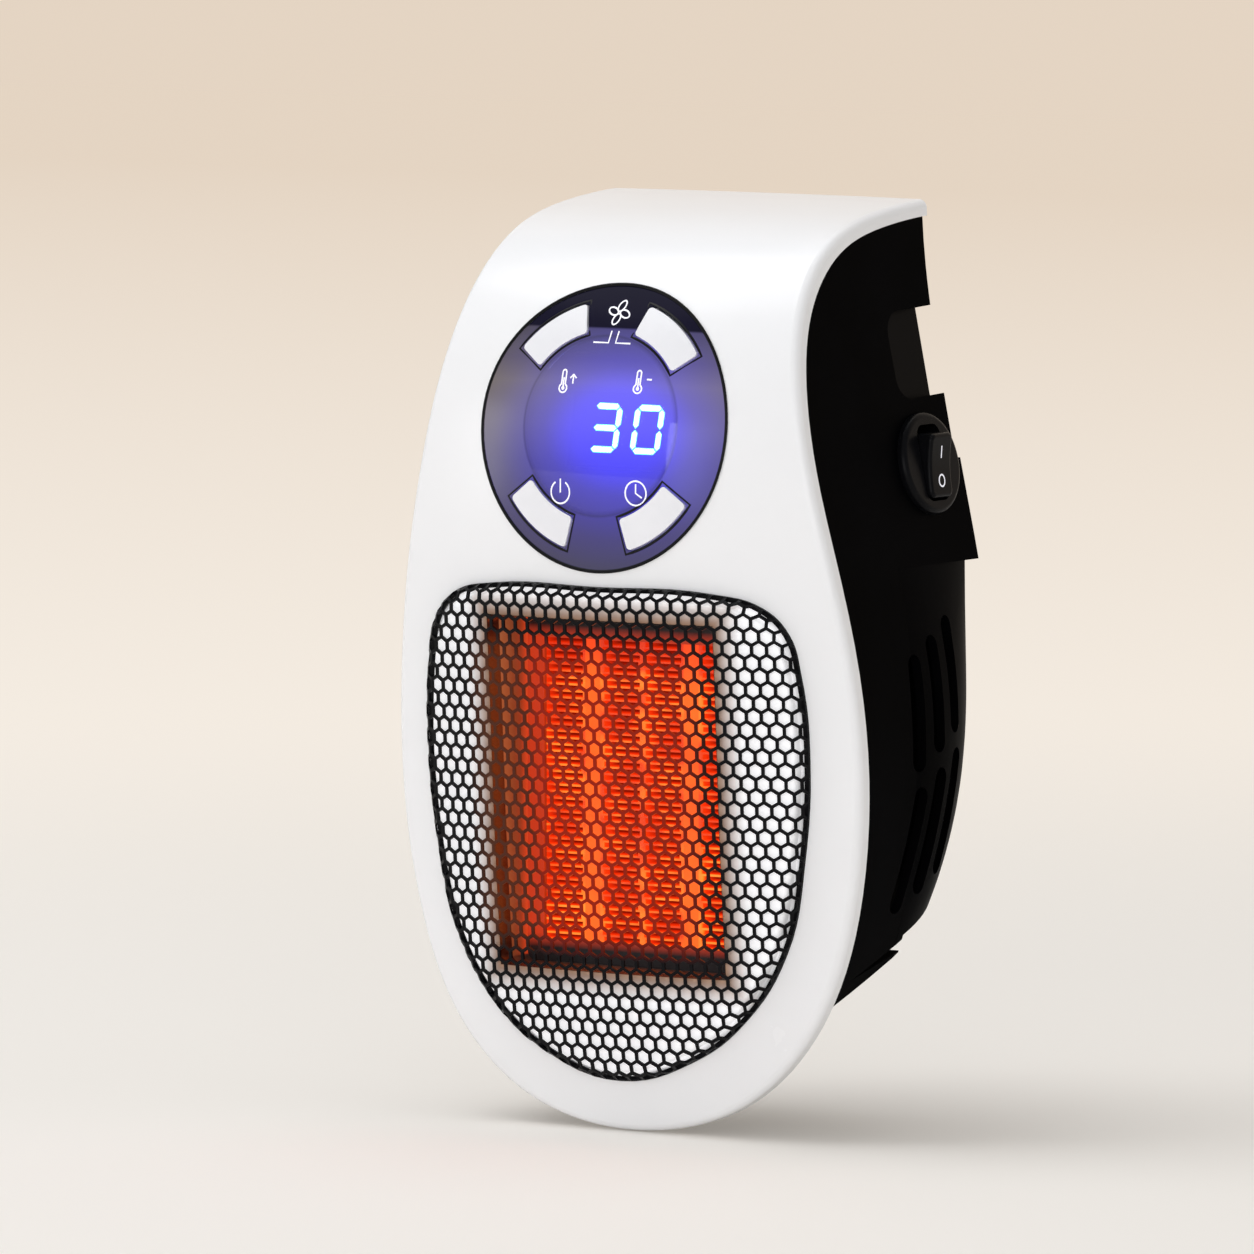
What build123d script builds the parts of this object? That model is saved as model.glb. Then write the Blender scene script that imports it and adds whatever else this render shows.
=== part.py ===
from build123d import *
import math
import os

os.makedirs("parts", exist_ok=True)

# Sizes of the whole heater, in millimetres
height = 197.8
belly_height = 78.0
belly_half = 58.4
top_half = 40.6
crown_height = 135.0
crown_radius = 190.0
foot_setback = 13.5
rear_depth = 67.4
overrun = 8.0
meridian_steps = 14

# Where the heater is held: the plug's face is the origin, and its axis is Y
plug_height = 133.0
plug_face_depth = 88.1

# Front panel
panel_wall = 2.4
panel_skirt = 3.4
panel_edge_round = 1.9
window_width = 57.0
window_height = 75.5
window_corner = 2.0
window_centre = 72.4
pad_margin = 2.0
pad_proud = 2.0
pad_round = 1.2

# Outlet opening and its pillow-shaped grille
outlet_half = 48.1
outlet_bottom = 11.0
outlet_top = 117.3
grille_proud = 3.5
grille_wall = 0.8
grille_round = 3.0
grille_pitch = 9.9
grille_web = 1.5
grille_rim = 3.4

# Round control lens, its four keys and the board behind it
lens_height = 151.8
lens_depth = 0.8
lens_tilt = 11.0
lens_radius = 30.4
lens_wall = 2.0
lens_gap = 0.15
ledge_inner = 28.6
ledge_outer = 33.0
ledge_wall = 1.8
key_inner = 20.5
key_outer = 27.2
key_centre_angle = 54.5
key_half_angle = 18.5
key_corner = 0.8
key_gap = 0.35
key_proud = 0.25
key_flange = 0.8
key_flange_wall = 1.1
key_stem_radius = 2.0
key_travel = 0.6
board_drop = 14.0
board_wall = 1.6
control_board_radius = 31.5
board_boss_radius = 2.2
board_boss_circle = 29.4
tact_size = 6.0
tact_body = 3.5
tact_plunger = 1.0
tact_plunger_radius = 1.6
display_width = 25.0
display_height = 16.0
display_thick = 4.2

# Screws: shank and head radius, head height and the slack round a shank
small_shank = 0.9
small_head = 1.8
small_head_height = 1.3
small_length = 8.0
board_screw_length = 7.2
case_shank = 1.2
case_head = 2.5
case_head_height = 1.8
case_length = 16.0
shank_slack = 0.06
hole_slack = 0.25
post_wall = 1.6

# Rear housing
housing_inset = 1.2
housing_wall = 2.2
belt_depth = 69.4
belt_top = 142.5
cowl_crease = 37.1
cowl_middle = 56.1
cowl_depth = 69.0
cowl_top = 121.0
cowl_middle_half = 55.7
cowl_middle_belly = 80.0
cowl_middle_bottom = 24.0
cowl_middle_top_half = 51.9
cowl_rear_half = 49.7
cowl_rear_belly = 90.0
cowl_rear_bottom = 46.0
cowl_rear_top_half = 49.4
cowl_front_half = 57.2
cowl_front_top_half = 52.7
underside_front = 18.8
underside_step_depth = 39.4
underside_step_low = 38.9
underside_step_high = 42.7
chin_inset = 3.0
chin_top = 32.0
wedge_tip_depth = 22.7
wedge_tip_height = 34.2
wedge_lip = 1.1
wedge_half = 40.0
underside_rear = 53.2
grip_bottom = 155.5
grip_top = 174.5
grip_front = 49.0
grip_corner = 5.0
grip_start_half = 43.4
grip_lean = 11.5

# Vent slots: three columns on each side and a row of columns behind
slot_width = 4.8
side_slot_columns = 3
side_slot_first = 38.1
side_slot_pitch = 8.0
side_slot_bottom = 77.8
side_slot_length = 25.0
side_slot_rise = 3.6
low_slot_top = 74.5
low_slot_length = 27.5
low_slot_shift = 1.5
low_slot_lean = 14.0
side_cut_half = 48.4
rear_slot_columns = 7
rear_slot_pitch = 10.0
rear_slot_length = 22.0
rear_slot_low = 73.0
rear_slot_high = 96.5
side_low_cut_half = 36.0

# Case screws: where the wells stand, from the middle and above the foot
upper_well_half = 34.0
upper_well_height = 165.0
lower_well_half = 44.0
lower_well_height = 108.0
well_wall = 1.4
well_floor = 6.0
well_front = 32.0

# Heater core: duct, frame, ceramic bars, plates and folded fins
core_height = 71.9
duct_wall = 1.8
duct_rear = 17.1
frame_width = 66.0
frame_height = 84.0
frame_depth = 12.9
core_half = 26.0
core_length = 68.4
core_slack = 0.1
frame_gap = 0.4
frame_lip = 1.0
plate_thick = 0.6
divider_thick = 1.0
bar_centre = 12.5
bar_thick = 3.8
fin_pitch = 2.8
fin_thick = 0.4
ear_wall = 2.0
ear_half = 38.5
ear_rise = 22.0
ear_radius = 4.0
ear_screw_length = 10.0
tab_width = 6.3
tab_reach = 4.0
tab_rise = 20.0
cutoff_width = 14.0
cutoff_height = 5.0
cutoff_thick = 9.0
cutoff_depth = 19.0

# Fan: shroud, motor, shaft and impeller
shroud_plate = 2.0
fan_height = 79.5
shroud_bore = 28.0
shroud_wall = 1.8
shroud_rear = 50.0
spoke_width = 4.0
spoke_thick = 3.0
spoke_count = 3
motor_radius = 10.4
motor_front = 48.5
motor_rear = 64.0
motor_slack = 0.1
cup_wall = 2.2
cup_rear = 55.0
cup_floor = 1.5
cup_eye = 3.0
shaft_radius = 1.0
shaft_front = 36.5
shaft_rear = 60.0
shaft_slack = 0.03
impeller_radius = 27.2
impeller_front = 35.5
impeller_rear = 45.5
hub_radius = 9.5
blade_count = 7
blade_thick = 1.3
blade_pitch = 38.0

# Power board and what stands on it
power_half = 30.0
power_bottom = 121.5
power_top = 179.0
power_front = 26.1
power_post_half = 26.0
power_post_inset = 3.2
relay_width = 19.0
relay_height = 15.5
relay_thick = 15.0
converter_width = 18.0
converter_height = 20.0
converter_thick = 14.0
capacitor_radius = 5.0
capacitor_length = 16.0
block_width = 15.0
block_height = 8.0
block_thick = 10.0
parts_spacing = 13.0

# Rocker switch in the right-hand wall
switch_height = 142.0
switch_depth = 55.1
switch_wall_half = 48.1
switch_wall_lean = 11.6
switch_seat_gap = 0.1
bezel_radius = 11.0
bezel_thick = 1.9
bezel_round = 1.2
barrel_radius = 9.6
barrel_length = 13.0
barrel_gap = 0.15
pocket_width = 9.2
pocket_length = 16.5
pocket_corner = 2.5
pocket_depth = 9.5
rocker_width = 8.5
rocker_half_length = 6.9
rocker_front = 5.64
rocker_dip = 0.7
rocker_back = 5.4
rocker_corner = 1.5
rocker_back_half = 2.5
rocker_shoulder = 0.5
rocker_round = 0.8
rocker_tilt = 10.5
pivot_depth = 1.2
pivot_radius = 1.0
pivot_reach = 0.9
pivot_slack = 0.05
terminal_width = 4.8
terminal_thick = 0.8
terminal_reach = 8.0
terminal_spacing = 8.0

# Turning plug at the back
boss_radius = 23.0
boss_proud = 1.2
boss_lip = 2.0
boss_front = 62.5
turntable_radius = 19.0
plug_radius = 17.0
turn_slack = 0.08
turn_end_gap = 0.3
plug_edge_round = 1.5
retainer_wall = 2.0
retainer_bore = 13.0
retainer_screw_circle = 21.1
retainer_shank = 0.8
retainer_head = 1.4
retainer_head_height = 1.0
retainer_screw_length = 6.0
retainer_screw_count = 3
pin_radius = 2.4
pin_reach = 19.0
pin_spacing = 19.0
pin_root = 64.0
pin_neck_radius = 2.15
pin_neck_reach = 0.5
pin_tail_radius = 1.2
pin_tail = 57.0
pin_round = 1.4
pin_slack = 0.02

# Outline points, as shares of the sizes that they follow, counted from the foot upwards
lower_side_shares = [(0.502, 0.096), (0.781, 0.303), (0.951, 0.641)]
upper_side_shares = [(0.750, 0.354), (0.503, 0.523), (0.269, 0.692), (0.152, 0.785), (0.055, 0.885)]
cowl_side_shares = [(0.750, 0.500)]
lower_front_shares = [(0.770, 0.074), (0.533, 0.222), (0.326, 0.444), (0.141, 0.741)]
upper_front_shares = [(0.037, 0.404), (0.092, 0.572), (0.189, 0.739), (0.408, 0.908),
                      (0.564, 0.955), (0.762, 0.987)]
foot_slope_share = 0.35
outlet_shares = [(0.374, 0.046), (0.655, 0.137), (0.863, 0.278), (0.961, 0.461), (1.0, 0.687),
                 (0.973, 0.838), (0.925, 0.920), (0.811, 0.971), (0.580, 0.996)]


# Places: heights are counted from the foot, depths from the foremost line of the front
def up(rise):
    return rise - plug_height


def back(depth):
    return depth - plug_face_depth


def facing(depth):
    return Plane.XZ.offset(-back(depth))


def both_sides(half, *heights):
    return [(side * half, rise) for rise in heights for side in (-1, 1)]


def on_circle(radius, angle):
    return (radius * math.cos(math.radians(angle)), radius * math.sin(math.radians(angle)))


# One half of an outline that widens from its bottom to its belly and narrows to its top
def half_outline(bottom, belly, top, half, narrow, high_shares):
    low = [(x * half, up(bottom + s * (belly - bottom))) for x, s in lower_side_shares]
    flare = half - narrow
    high = [(narrow + x * flare, up(belly + s * (top - belly))) for x, s in high_shares]
    return [*low, (half, up(belly)), *high, (narrow, up(top))]


# The solid inside such an outline, flat on top, at one depth
def outline_sketch(right, bottom, peak, depth):
    tip = (right[-1][0], up(peak))
    left = [(-x, z) for x, z in reversed(right)]
    with BuildSketch(facing(depth), mode=Mode.PRIVATE) as sketch:
        with BuildLine():
            Spline((-tip[0], tip[1]), *left, (0, up(bottom)), *right, tip)
            Line(tip, (-tip[0], tip[1]))
        make_face()
    return sketch.sketch


def outline_prism(inset, front, rear):
    right = half_outline(inset, belly_height, height, belly_half - inset, top_half - inset,
                         upper_side_shares)
    with BuildPart(mode=Mode.PRIVATE) as prism:
        add(outline_sketch(right, inset, height + overrun, front))
        extrude(amount=rear - front, dir=(0, 1, 0))
    return prism.part


# The solid inside the outlet's outline, which is closed all round
def outlet_prism(inset):
    half = outlet_half - inset
    low = up(outlet_bottom + inset)
    rise = outlet_top - outlet_bottom - 2 * inset
    right = [(x * half, low + s * rise) for x, s in outlet_shares]
    left = [(-x, z) for x, z in reversed(right)]
    with BuildPart(mode=Mode.PRIVATE) as prism:
        with BuildSketch(facing(-overrun)):
            with BuildLine():
                Spline((0, low), *right, (0, low + rise), *left, periodic=True)
            make_face()
        extrude(amount=overrun + rear_depth, dir=(0, 1, 0))
    return prism.part


# Everything behind the crowned front surface, set back from it by a given amount
def behind_front(set_back):
    turn = math.asin((belly_half + overrun) / (crown_radius - rear_depth - 2 * overrun))
    place = Plane(origin=(0, back(crown_radius), 0), x_dir=(math.sin(turn), math.cos(turn), 0),
                  z_dir=(math.cos(turn), -math.sin(turn), 0))
    rise = height - crown_height
    low = [(x * foot_setback - crown_radius, up(s * crown_height)) for x, s in lower_front_shares]
    high = [(x * rear_depth - crown_radius, up(crown_height + s * rise)) for x, s in upper_front_shares]
    foot = (foot_setback - crown_radius, up(0))
    roof_end = (rear_depth - crown_radius, up(height))
    below = (foot[0] + foot_slope_share * 2 * overrun, up(-2 * overrun))
    beyond = (rear_depth + 2 * overrun - crown_radius, up(height))
    crown = (-crown_radius, up(crown_height))
    points = [below, foot, *low, crown, *high, roof_end, beyond]
    line = Edge.make_spline([Vector(*point) for point in points])
    moved = []
    for step in range(meridian_steps + 1):
        point = line @ (step / meridian_steps)
        along = line % (step / meridian_steps)
        moved.append((point.X + set_back * along.Y, point.Y - set_back * along.X))
    with BuildPart(mode=Mode.PRIVATE) as shape:
        with BuildSketch(place):
            with BuildLine():
                Spline(*moved)
                Polyline(moved[-1], (moved[-1][0], moved[0][1]), moved[0])
            make_face()
        revolve(axis=Axis((0, back(crown_radius), 0), (0, 0, 1)), revolution_arc=2 * math.degrees(turn))
    return shape.part


# Round bars along Y between two depths
def bars(radius, places, front, rear):
    with BuildPart(mode=Mode.PRIVATE) as shape:
        with BuildSketch(facing(front)):
            with Locations(*[(x, up(rise)) for x, rise in places]):
                Circle(radius)
        extrude(amount=rear - front, dir=(0, 1, 0))
    return shape.part


# The lens lies in a plane that leans back; its bars run from one distance behind it to another
lens_turn = math.radians(lens_tilt)
lens_plane = Plane(origin=(0, back(lens_depth), up(lens_height)), x_dir=(1, 0, 0),
                   z_dir=(0, -math.cos(lens_turn), math.sin(lens_turn)))


def lens_bars(radius, places, start, end):
    with BuildPart(mode=Mode.PRIVATE) as shape:
        with BuildSketch(lens_plane.offset(-start)):
            with Locations(*places):
                Circle(radius)
        extrude(amount=start - end)
    return shape.part


def key_bar(angle, grow, start, end):
    first = angle - key_half_angle
    sweep = 2 * key_half_angle
    with BuildPart(mode=Mode.PRIVATE) as shape:
        with BuildSketch(lens_plane.offset(-start)):
            with BuildLine():
                outer_arc = CenterArc((0, 0), key_outer, first, sweep)
                inner_arc = CenterArc((0, 0), key_inner, first, sweep)
                Line(outer_arc @ 0, inner_arc @ 0)
                Line(outer_arc @ 1, inner_arc @ 1)
            key_face = make_face()
            fillet(key_face.vertices(), key_corner)
            if grow:
                offset(amount=grow)
        extrude(amount=start - end)
    return shape.part


# Surfaces shared by the panel, the lens, the keys and the housing
front_face = behind_front(0)
panel_back = behind_front(panel_wall)
skirt_back = behind_front(panel_skirt)
post_start = behind_front(panel_wall / 2)
lens_back = behind_front(lens_wall)
ledge_back = behind_front(lens_wall + ledge_wall)
pad_front = behind_front(-pad_proud)

# Depths that follow from the pieces between the panel and the fan
board_depth = power_front + board_wall
frame_rear = duct_rear + frame_depth
core_front = duct_rear + frame_lip
core_thick = frame_depth - frame_lip - core_slack
shroud_front = frame_rear + shroud_plate

# Case posts and wells, board posts and ears share these places
well_places = both_sides(upper_well_half, upper_well_height) + both_sides(lower_well_half, lower_well_height)
power_post_places = both_sides(power_post_half, power_bottom + power_post_inset,
                               power_top - power_post_inset)
ear_places = both_sides(ear_half, core_height - ear_rise, core_height + ear_rise)
board_boss_places = [on_circle(board_boss_circle, quarter * 90) for quarter in range(4)]

# Front panel: a crowned shell with a short skirt, a roof, a raised pad round the window and posts
panel_outer = outline_prism(0, -overrun, rear_depth)
panel_inner = outline_prism(panel_wall, -overrun, rear_depth - panel_wall)
small_post = small_shank + shank_slack + post_wall
with BuildPart() as panel_pad:
    add(outlet_prism(pad_margin))
    add(pad_front, mode=Mode.INTERSECT)
    add(post_start, mode=Mode.SUBTRACT)
    fillet(panel_pad.faces().sort_by(Axis.Y)[0].edges(), pad_round)
with BuildPart() as panel_cavity:
    add(panel_inner)
    add(panel_back, mode=Mode.INTERSECT)
with BuildPart() as ledge:
    add(lens_bars(ledge_outer, [(0, 0)], -overrun, board_drop))
    add(lens_bars(ledge_inner, [(0, 0)], -overrun, board_drop), mode=Mode.SUBTRACT)
    add(lens_back, mode=Mode.INTERSECT)
    add(ledge_back, mode=Mode.SUBTRACT)
with BuildPart() as posts:
    add(bars(case_shank + shank_slack + post_wall, well_places, -overrun, well_front))
    add(bars(small_post, power_post_places, -overrun, power_front))
    add(bars(small_post, ear_places, -overrun, frame_rear - ear_wall))
    add(post_start, mode=Mode.INTERSECT)
with BuildPart() as lens_posts:
    add(lens_bars(board_boss_radius, board_boss_places, 0, board_drop))
    add(lens_back, mode=Mode.INTERSECT)
case_tip = well_front + well_floor - case_length - hole_slack
power_tip = board_depth - small_length - hole_slack
ear_tip = shroud_front - ear_screw_length - hole_slack
board_tip = board_drop + board_wall - small_length - hole_slack
with BuildPart() as front_panel:
    add(panel_outer)
    add(front_face, mode=Mode.INTERSECT)
    fillet(front_panel.edges().sort_by(Axis.Y)[0], panel_edge_round)
    add(panel_cavity.part, mode=Mode.SUBTRACT)
    add(skirt_back, mode=Mode.SUBTRACT)
    add(panel_pad.part)
    with BuildSketch(facing(-overrun)):
        with Locations((0, up(window_centre))):
            RectangleRounded(window_width, window_height, window_corner)
    extrude(amount=overrun + duct_rear, dir=(0, 1, 0), mode=Mode.SUBTRACT)
    add(lens_bars(lens_radius + lens_gap, [(0, 0)], -overrun, board_drop), mode=Mode.SUBTRACT)
    add([ledge.part, posts.part, lens_posts.part])
    add(bars(case_shank + shank_slack, well_places, case_tip, well_front), mode=Mode.SUBTRACT)
    add(bars(small_shank + shank_slack, power_post_places, power_tip, power_front), mode=Mode.SUBTRACT)
    add(bars(small_shank + shank_slack, ear_places, ear_tip, frame_rear), mode=Mode.SUBTRACT)
    add(lens_bars(small_shank + shank_slack, board_boss_places, board_tip, board_drop), mode=Mode.SUBTRACT)
front_panel.part.label = "front_panel"
export_step(front_panel.part, "parts/front_panel.step")

# Grille: a pillow-shaped cap over the outlet, with six-sided holes
grille_front = behind_front(-grille_proud)
grille_back = behind_front(-grille_proud + grille_wall)
hole_width = (grille_pitch - grille_web) / math.sqrt(3)
row_pitch = grille_pitch * math.sqrt(3) / 2
grille_rows = int((outlet_top - outlet_bottom) / row_pitch / 2)
grille_columns = int(outlet_half / grille_pitch)
hole_places = []
for row in range(-grille_rows, grille_rows + 1):
    for column in range(-grille_columns, grille_columns + 1):
        x = (column + (row % 2) / 2) * grille_pitch
        z = up((outlet_top + outlet_bottom) / 2) + row * row_pitch
        hole_places.append((x, z))
with BuildPart() as grille_field:
    add(outlet_prism(grille_rim))
with BuildPart() as grille_hollow:
    add(outlet_prism(grille_wall))
    add(grille_back, mode=Mode.INTERSECT)
    fillet(grille_hollow.edges().sort_by(Axis.Y)[0], grille_round - grille_wall)
with BuildPart() as grille:
    add(outlet_prism(0))
    add(grille_front, mode=Mode.INTERSECT)
    fillet(grille.edges().sort_by(Axis.Y)[0], grille_round)
    add(grille_hollow.part, mode=Mode.SUBTRACT)
    add(front_face, mode=Mode.SUBTRACT)
    field = grille_field.part.faces().sort_by(Axis.Y)[0]
    inside = [place for place in hole_places if field.is_inside(Vector(place[0], back(-overrun), place[1]))]
    with BuildSketch(facing(-overrun)):
        with Locations(*inside):
            RegularPolygon(hole_width, 6, rotation=30)
    extrude(amount=overrun + foot_setback + grille_proud, dir=(0, 1, 0), mode=Mode.SUBTRACT)
grille.part.label = "grille"
export_step(grille.part, "parts/grille.step")

# Control lens, the keys in it, and the board, switches and display behind it
key_angles = {"up": key_centre_angle, "down": -key_centre_angle}
with BuildPart() as control_lens:
    add(lens_bars(lens_radius, [(0, 0)], -overrun, board_drop))
    add(front_face, mode=Mode.INTERSECT)
    add(lens_back, mode=Mode.SUBTRACT)
    for angle in key_angles.values():
        opening = key_bar(angle, key_gap, -overrun, board_drop)
        add([opening, mirror(opening, about=Plane.YZ, mode=Mode.PRIVATE)], mode=Mode.SUBTRACT)
control_lens.part.label = "control_lens"
export_step(control_lens.part, "parts/control_lens.step")

key_front = behind_front(-key_proud)
flange_front = behind_front(lens_wall + key_gap)
flange_back = behind_front(lens_wall + key_gap + key_flange_wall)
key_circle = (key_inner + key_outer) / 2
tact_tip = board_drop - tact_body - tact_plunger
tact_places = []
for level, angle in key_angles.items():
    x, y = on_circle(key_circle, angle)
    tact_places.extend([(x, y), (-x, y)])
    with BuildPart() as key_stem:
        add(lens_bars(key_stem_radius, [(x, y)], 0, tact_tip - key_travel - shank_slack))
        add(flange_front, mode=Mode.INTERSECT)
    with BuildPart() as key_plate:
        add(key_bar(angle, key_flange, -overrun, board_drop))
        add(flange_front, mode=Mode.INTERSECT)
        add(flange_back, mode=Mode.SUBTRACT)
    with BuildPart() as right_key:
        add(key_bar(angle, 0, -overrun, board_drop))
        add(key_front, mode=Mode.INTERSECT)
        add(flange_back, mode=Mode.SUBTRACT)
        add([key_plate.part, key_stem.part])
    with BuildPart() as left_key:
        add(mirror(right_key.part, about=Plane.YZ, mode=Mode.PRIVATE))
    for side, key in (("right", right_key), ("left", left_key)):
        key.part.label = "key_" + level + "_" + side
        export_step(key.part, "parts/key_" + level + "_" + side + ".step")

board_rear = board_drop + board_wall
with BuildPart() as control_board:
    add(lens_bars(control_board_radius, [(0, 0)], board_drop, board_rear))
    add(lens_bars(small_shank + hole_slack, board_boss_places, board_drop, board_rear), mode=Mode.SUBTRACT)
control_board.part.label = "control_board"
export_step(control_board.part, "parts/control_board.step")

with BuildPart() as key_switches:
    with BuildSketch(lens_plane.offset(-board_drop)):
        with Locations(*tact_places):
            Rectangle(tact_size, tact_size)
    extrude(amount=tact_body)
    add(lens_bars(tact_plunger_radius, tact_places, tact_tip, board_drop))
key_switches.part.label = "key_switches"
export_step(key_switches.part, "parts/key_switches.step")

with BuildPart() as display_module:
    with BuildSketch(lens_plane.offset(-board_drop)):
        Rectangle(display_width, display_height)
    extrude(amount=display_thick)
display_module.part.label = "display_module"
export_step(display_module.part, "parts/display_module.step")


# An upright block with a rectangular outline, from one depth to another
def block(width, tall, centre, front, rear):
    with BuildPart(mode=Mode.PRIVATE) as shape:
        with BuildSketch(facing(front)):
            with Locations((centre[0], up(centre[1]))):
                Rectangle(width, tall)
        extrude(amount=rear - front, dir=(0, 1, 0))
    return shape.part


# Everything below the sloping underside and its step
def under(lift, step_depth):
    slope = (underside_step_low - underside_front) / underside_step_depth
    with BuildPart(mode=Mode.PRIVATE) as shape:
        with BuildSketch(Plane.YZ.offset(-2 * belly_half)):
            with BuildLine():
                Polyline(
                    (back(0), up(underside_front + lift)),
                    (back(step_depth), up(underside_front + slope * step_depth + lift)),
                    (back(step_depth), up(underside_step_high + lift)),
                    (back(rear_depth), up(underside_rear + lift)),
                    (back(rear_depth + 2 * overrun), up(underside_rear + lift)),
                    (back(rear_depth + 2 * overrun), up(-overrun)),
                    (back(0), up(-overrun)),
                    close=True,
                )
            make_face()
        extrude(amount=4 * belly_half)
    return shape.part


# Duct from the window to the heater frame
with BuildPart() as duct:
    with BuildSketch(facing(0)):
        with Locations((0, up(window_centre))):
            RectangleRounded(window_width + 2 * duct_wall, window_height + 2 * duct_wall, window_corner)
            RectangleRounded(window_width, window_height, window_corner, mode=Mode.SUBTRACT)
    extrude(amount=duct_rear, dir=(0, 1, 0))
    add(panel_back, mode=Mode.INTERSECT)
duct.part.label = "duct"
export_step(duct.part, "parts/duct.step")

# Heater frame with its ears, and the stack of bars, plates and fins in it
core_width = 2 * (core_half + core_slack)
core_tall = core_length + 2 * core_slack
core_middle = (0, core_height)
ear_bar = bars(ear_radius, ear_places, frame_rear - ear_wall, frame_rear)
ear_arms = [block(2 * ear_half, 2 * ear_radius, (0, rise), frame_rear - ear_wall, frame_rear)
            for rise in (core_height - ear_rise, core_height + ear_rise)]
ear_holes = bars(small_shank + hole_slack, ear_places, frame_rear - ear_wall, shroud_front)
floor_lift = housing_wall + frame_gap
below_floor = under(floor_lift, underside_step_depth - floor_lift)
with BuildPart() as heater_frame:
    add(block(frame_width, frame_height, core_middle, duct_rear, frame_rear))
    add([ear_bar, *ear_arms])
    add(below_floor, mode=Mode.SUBTRACT)
    add(block(core_width, core_tall, core_middle, core_front, frame_rear), mode=Mode.SUBTRACT)
    add(block(core_width - 2 * duct_wall, core_tall - 2 * duct_wall, core_middle, duct_rear, core_front),
        mode=Mode.SUBTRACT)
    add(ear_holes, mode=Mode.SUBTRACT)
heater_frame.part.label = "heater_frame"
export_step(heater_frame.part, "parts/heater_frame.step")

core_rear = core_front + core_thick
bar_half = bar_thick / 2
with BuildPart() as ceramic_bars:
    for side in (-1, 1):
        add(block(bar_thick, core_length, (side * bar_centre, core_height), core_front, core_rear))
ceramic_bars.part.label = "ceramic_bars"
export_step(ceramic_bars.part, "parts/ceramic_bars.step")

plate_shift = bar_half + plate_thick / 2
with BuildPart() as heater_plates:
    add(block(divider_thick, core_length, core_middle, core_front, core_rear))
    for side in (-1, 1):
        edge_place = (side * (core_half - plate_thick / 2), core_height)
        add(block(plate_thick, core_length, edge_place, core_front, core_rear))
        for shift in (-plate_shift, plate_shift):
            plate_x = side * bar_centre + shift
            add(block(plate_thick, core_length, (plate_x, core_height), core_front, core_rear))
            tab_place = (plate_x, core_height + tab_rise)
            add(block(plate_thick, tab_width, tab_place, core_rear, core_rear + tab_reach))
heater_plates.part.label = "heater_plates"
export_step(heater_plates.part, "parts/heater_plates.step")

# Folded fins fill the four columns between the plates
column_edges = [
    (divider_thick / 2, bar_centre - bar_half - plate_thick),
    (bar_centre + bar_half + plate_thick, core_half - plate_thick),
]
fold_pairs = int((core_length - fin_thick) / fin_pitch)
fold_rise = (core_length - fin_thick) / (2 * fold_pairs - 1)
fin_half = fin_thick / 2
with BuildPart() as heater_fins:
    for side in (-1, 1):
        for near, far in column_edges:
            low_x, high_x = sorted((side * near, side * far))
            outer_folds = []
            inner_folds = []
            for pair in range(fold_pairs):
                first = up(core_height - core_length / 2) + fin_half + 2 * pair * fold_rise
                second = first + fold_rise
                start = low_x if pair == 0 else low_x + fin_thick
                end = low_x if pair == fold_pairs - 1 else low_x + fin_thick
                outer_folds.extend([(start, first - fin_half), (high_x, first - fin_half),
                                    (high_x, second + fin_half), (end, second + fin_half)])
                inner_folds.extend([(low_x, first + fin_half), (high_x - fin_thick, first + fin_half),
                                    (high_x - fin_thick, second - fin_half), (low_x, second - fin_half)])
            with BuildSketch(facing(core_front)):
                with BuildLine():
                    Polyline(*outer_folds, *reversed(inner_folds), close=True)
                make_face()
            extrude(amount=core_thick, dir=(0, 1, 0))
heater_fins.part.label = "heater_fins"
export_step(heater_fins.part, "parts/heater_fins.step")

cutoff_place = (0, core_height + frame_height / 2 + cutoff_height / 2)
with BuildPart() as thermal_cutoff:
    add(block(cutoff_width, cutoff_height, cutoff_place, cutoff_depth, cutoff_depth + cutoff_thick))
thermal_cutoff.part.label = "thermal_cutoff"
export_step(thermal_cutoff.part, "parts/thermal_cutoff.step")

# Fan shroud: a plate behind the frame, a tube round the blades and a cup for the motor
hub_place = [(0, fan_height)]
cup_radius = motor_radius + motor_slack + cup_wall
spoke_front = shroud_rear - spoke_thick
with BuildPart() as fan_shroud:
    add(block(frame_width, frame_height, core_middle, frame_rear, shroud_front))
    add([ear.moved(Location((0, ear_wall, 0))) for ear in [ear_bar, *ear_arms]])
    add(bars(shroud_bore + shroud_wall, hub_place, shroud_front, shroud_rear))
    add(below_floor, mode=Mode.SUBTRACT)
    add(bars(shroud_bore, hub_place, frame_rear, shroud_rear), mode=Mode.SUBTRACT)
    add(bars(cup_radius, hub_place, spoke_front, cup_rear))
    with BuildSketch(facing(spoke_front)):
        with Locations((0, up(fan_height))):
            with PolarLocations((cup_radius + shroud_bore) / 2, spoke_count, start_angle=90):
                Rectangle(shroud_bore - cup_radius + cup_wall, spoke_width)
    extrude(amount=spoke_thick, dir=(0, 1, 0))
    add(bars(motor_radius + motor_slack, hub_place, motor_front, cup_rear), mode=Mode.SUBTRACT)
    add(bars(cup_eye, hub_place, spoke_front, cup_rear), mode=Mode.SUBTRACT)
    add(ear_holes, mode=Mode.SUBTRACT)
fan_shroud.part.label = "fan_shroud"
export_step(fan_shroud.part, "parts/fan_shroud.step")

with BuildPart() as fan_motor:
    add(bars(motor_radius, hub_place, motor_front, motor_rear))
    add(bars(shaft_radius + shaft_slack, hub_place, motor_front, shaft_rear + cup_floor), mode=Mode.SUBTRACT)
fan_motor.part.label = "fan_motor"
export_step(fan_motor.part, "parts/fan_motor.step")

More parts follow.
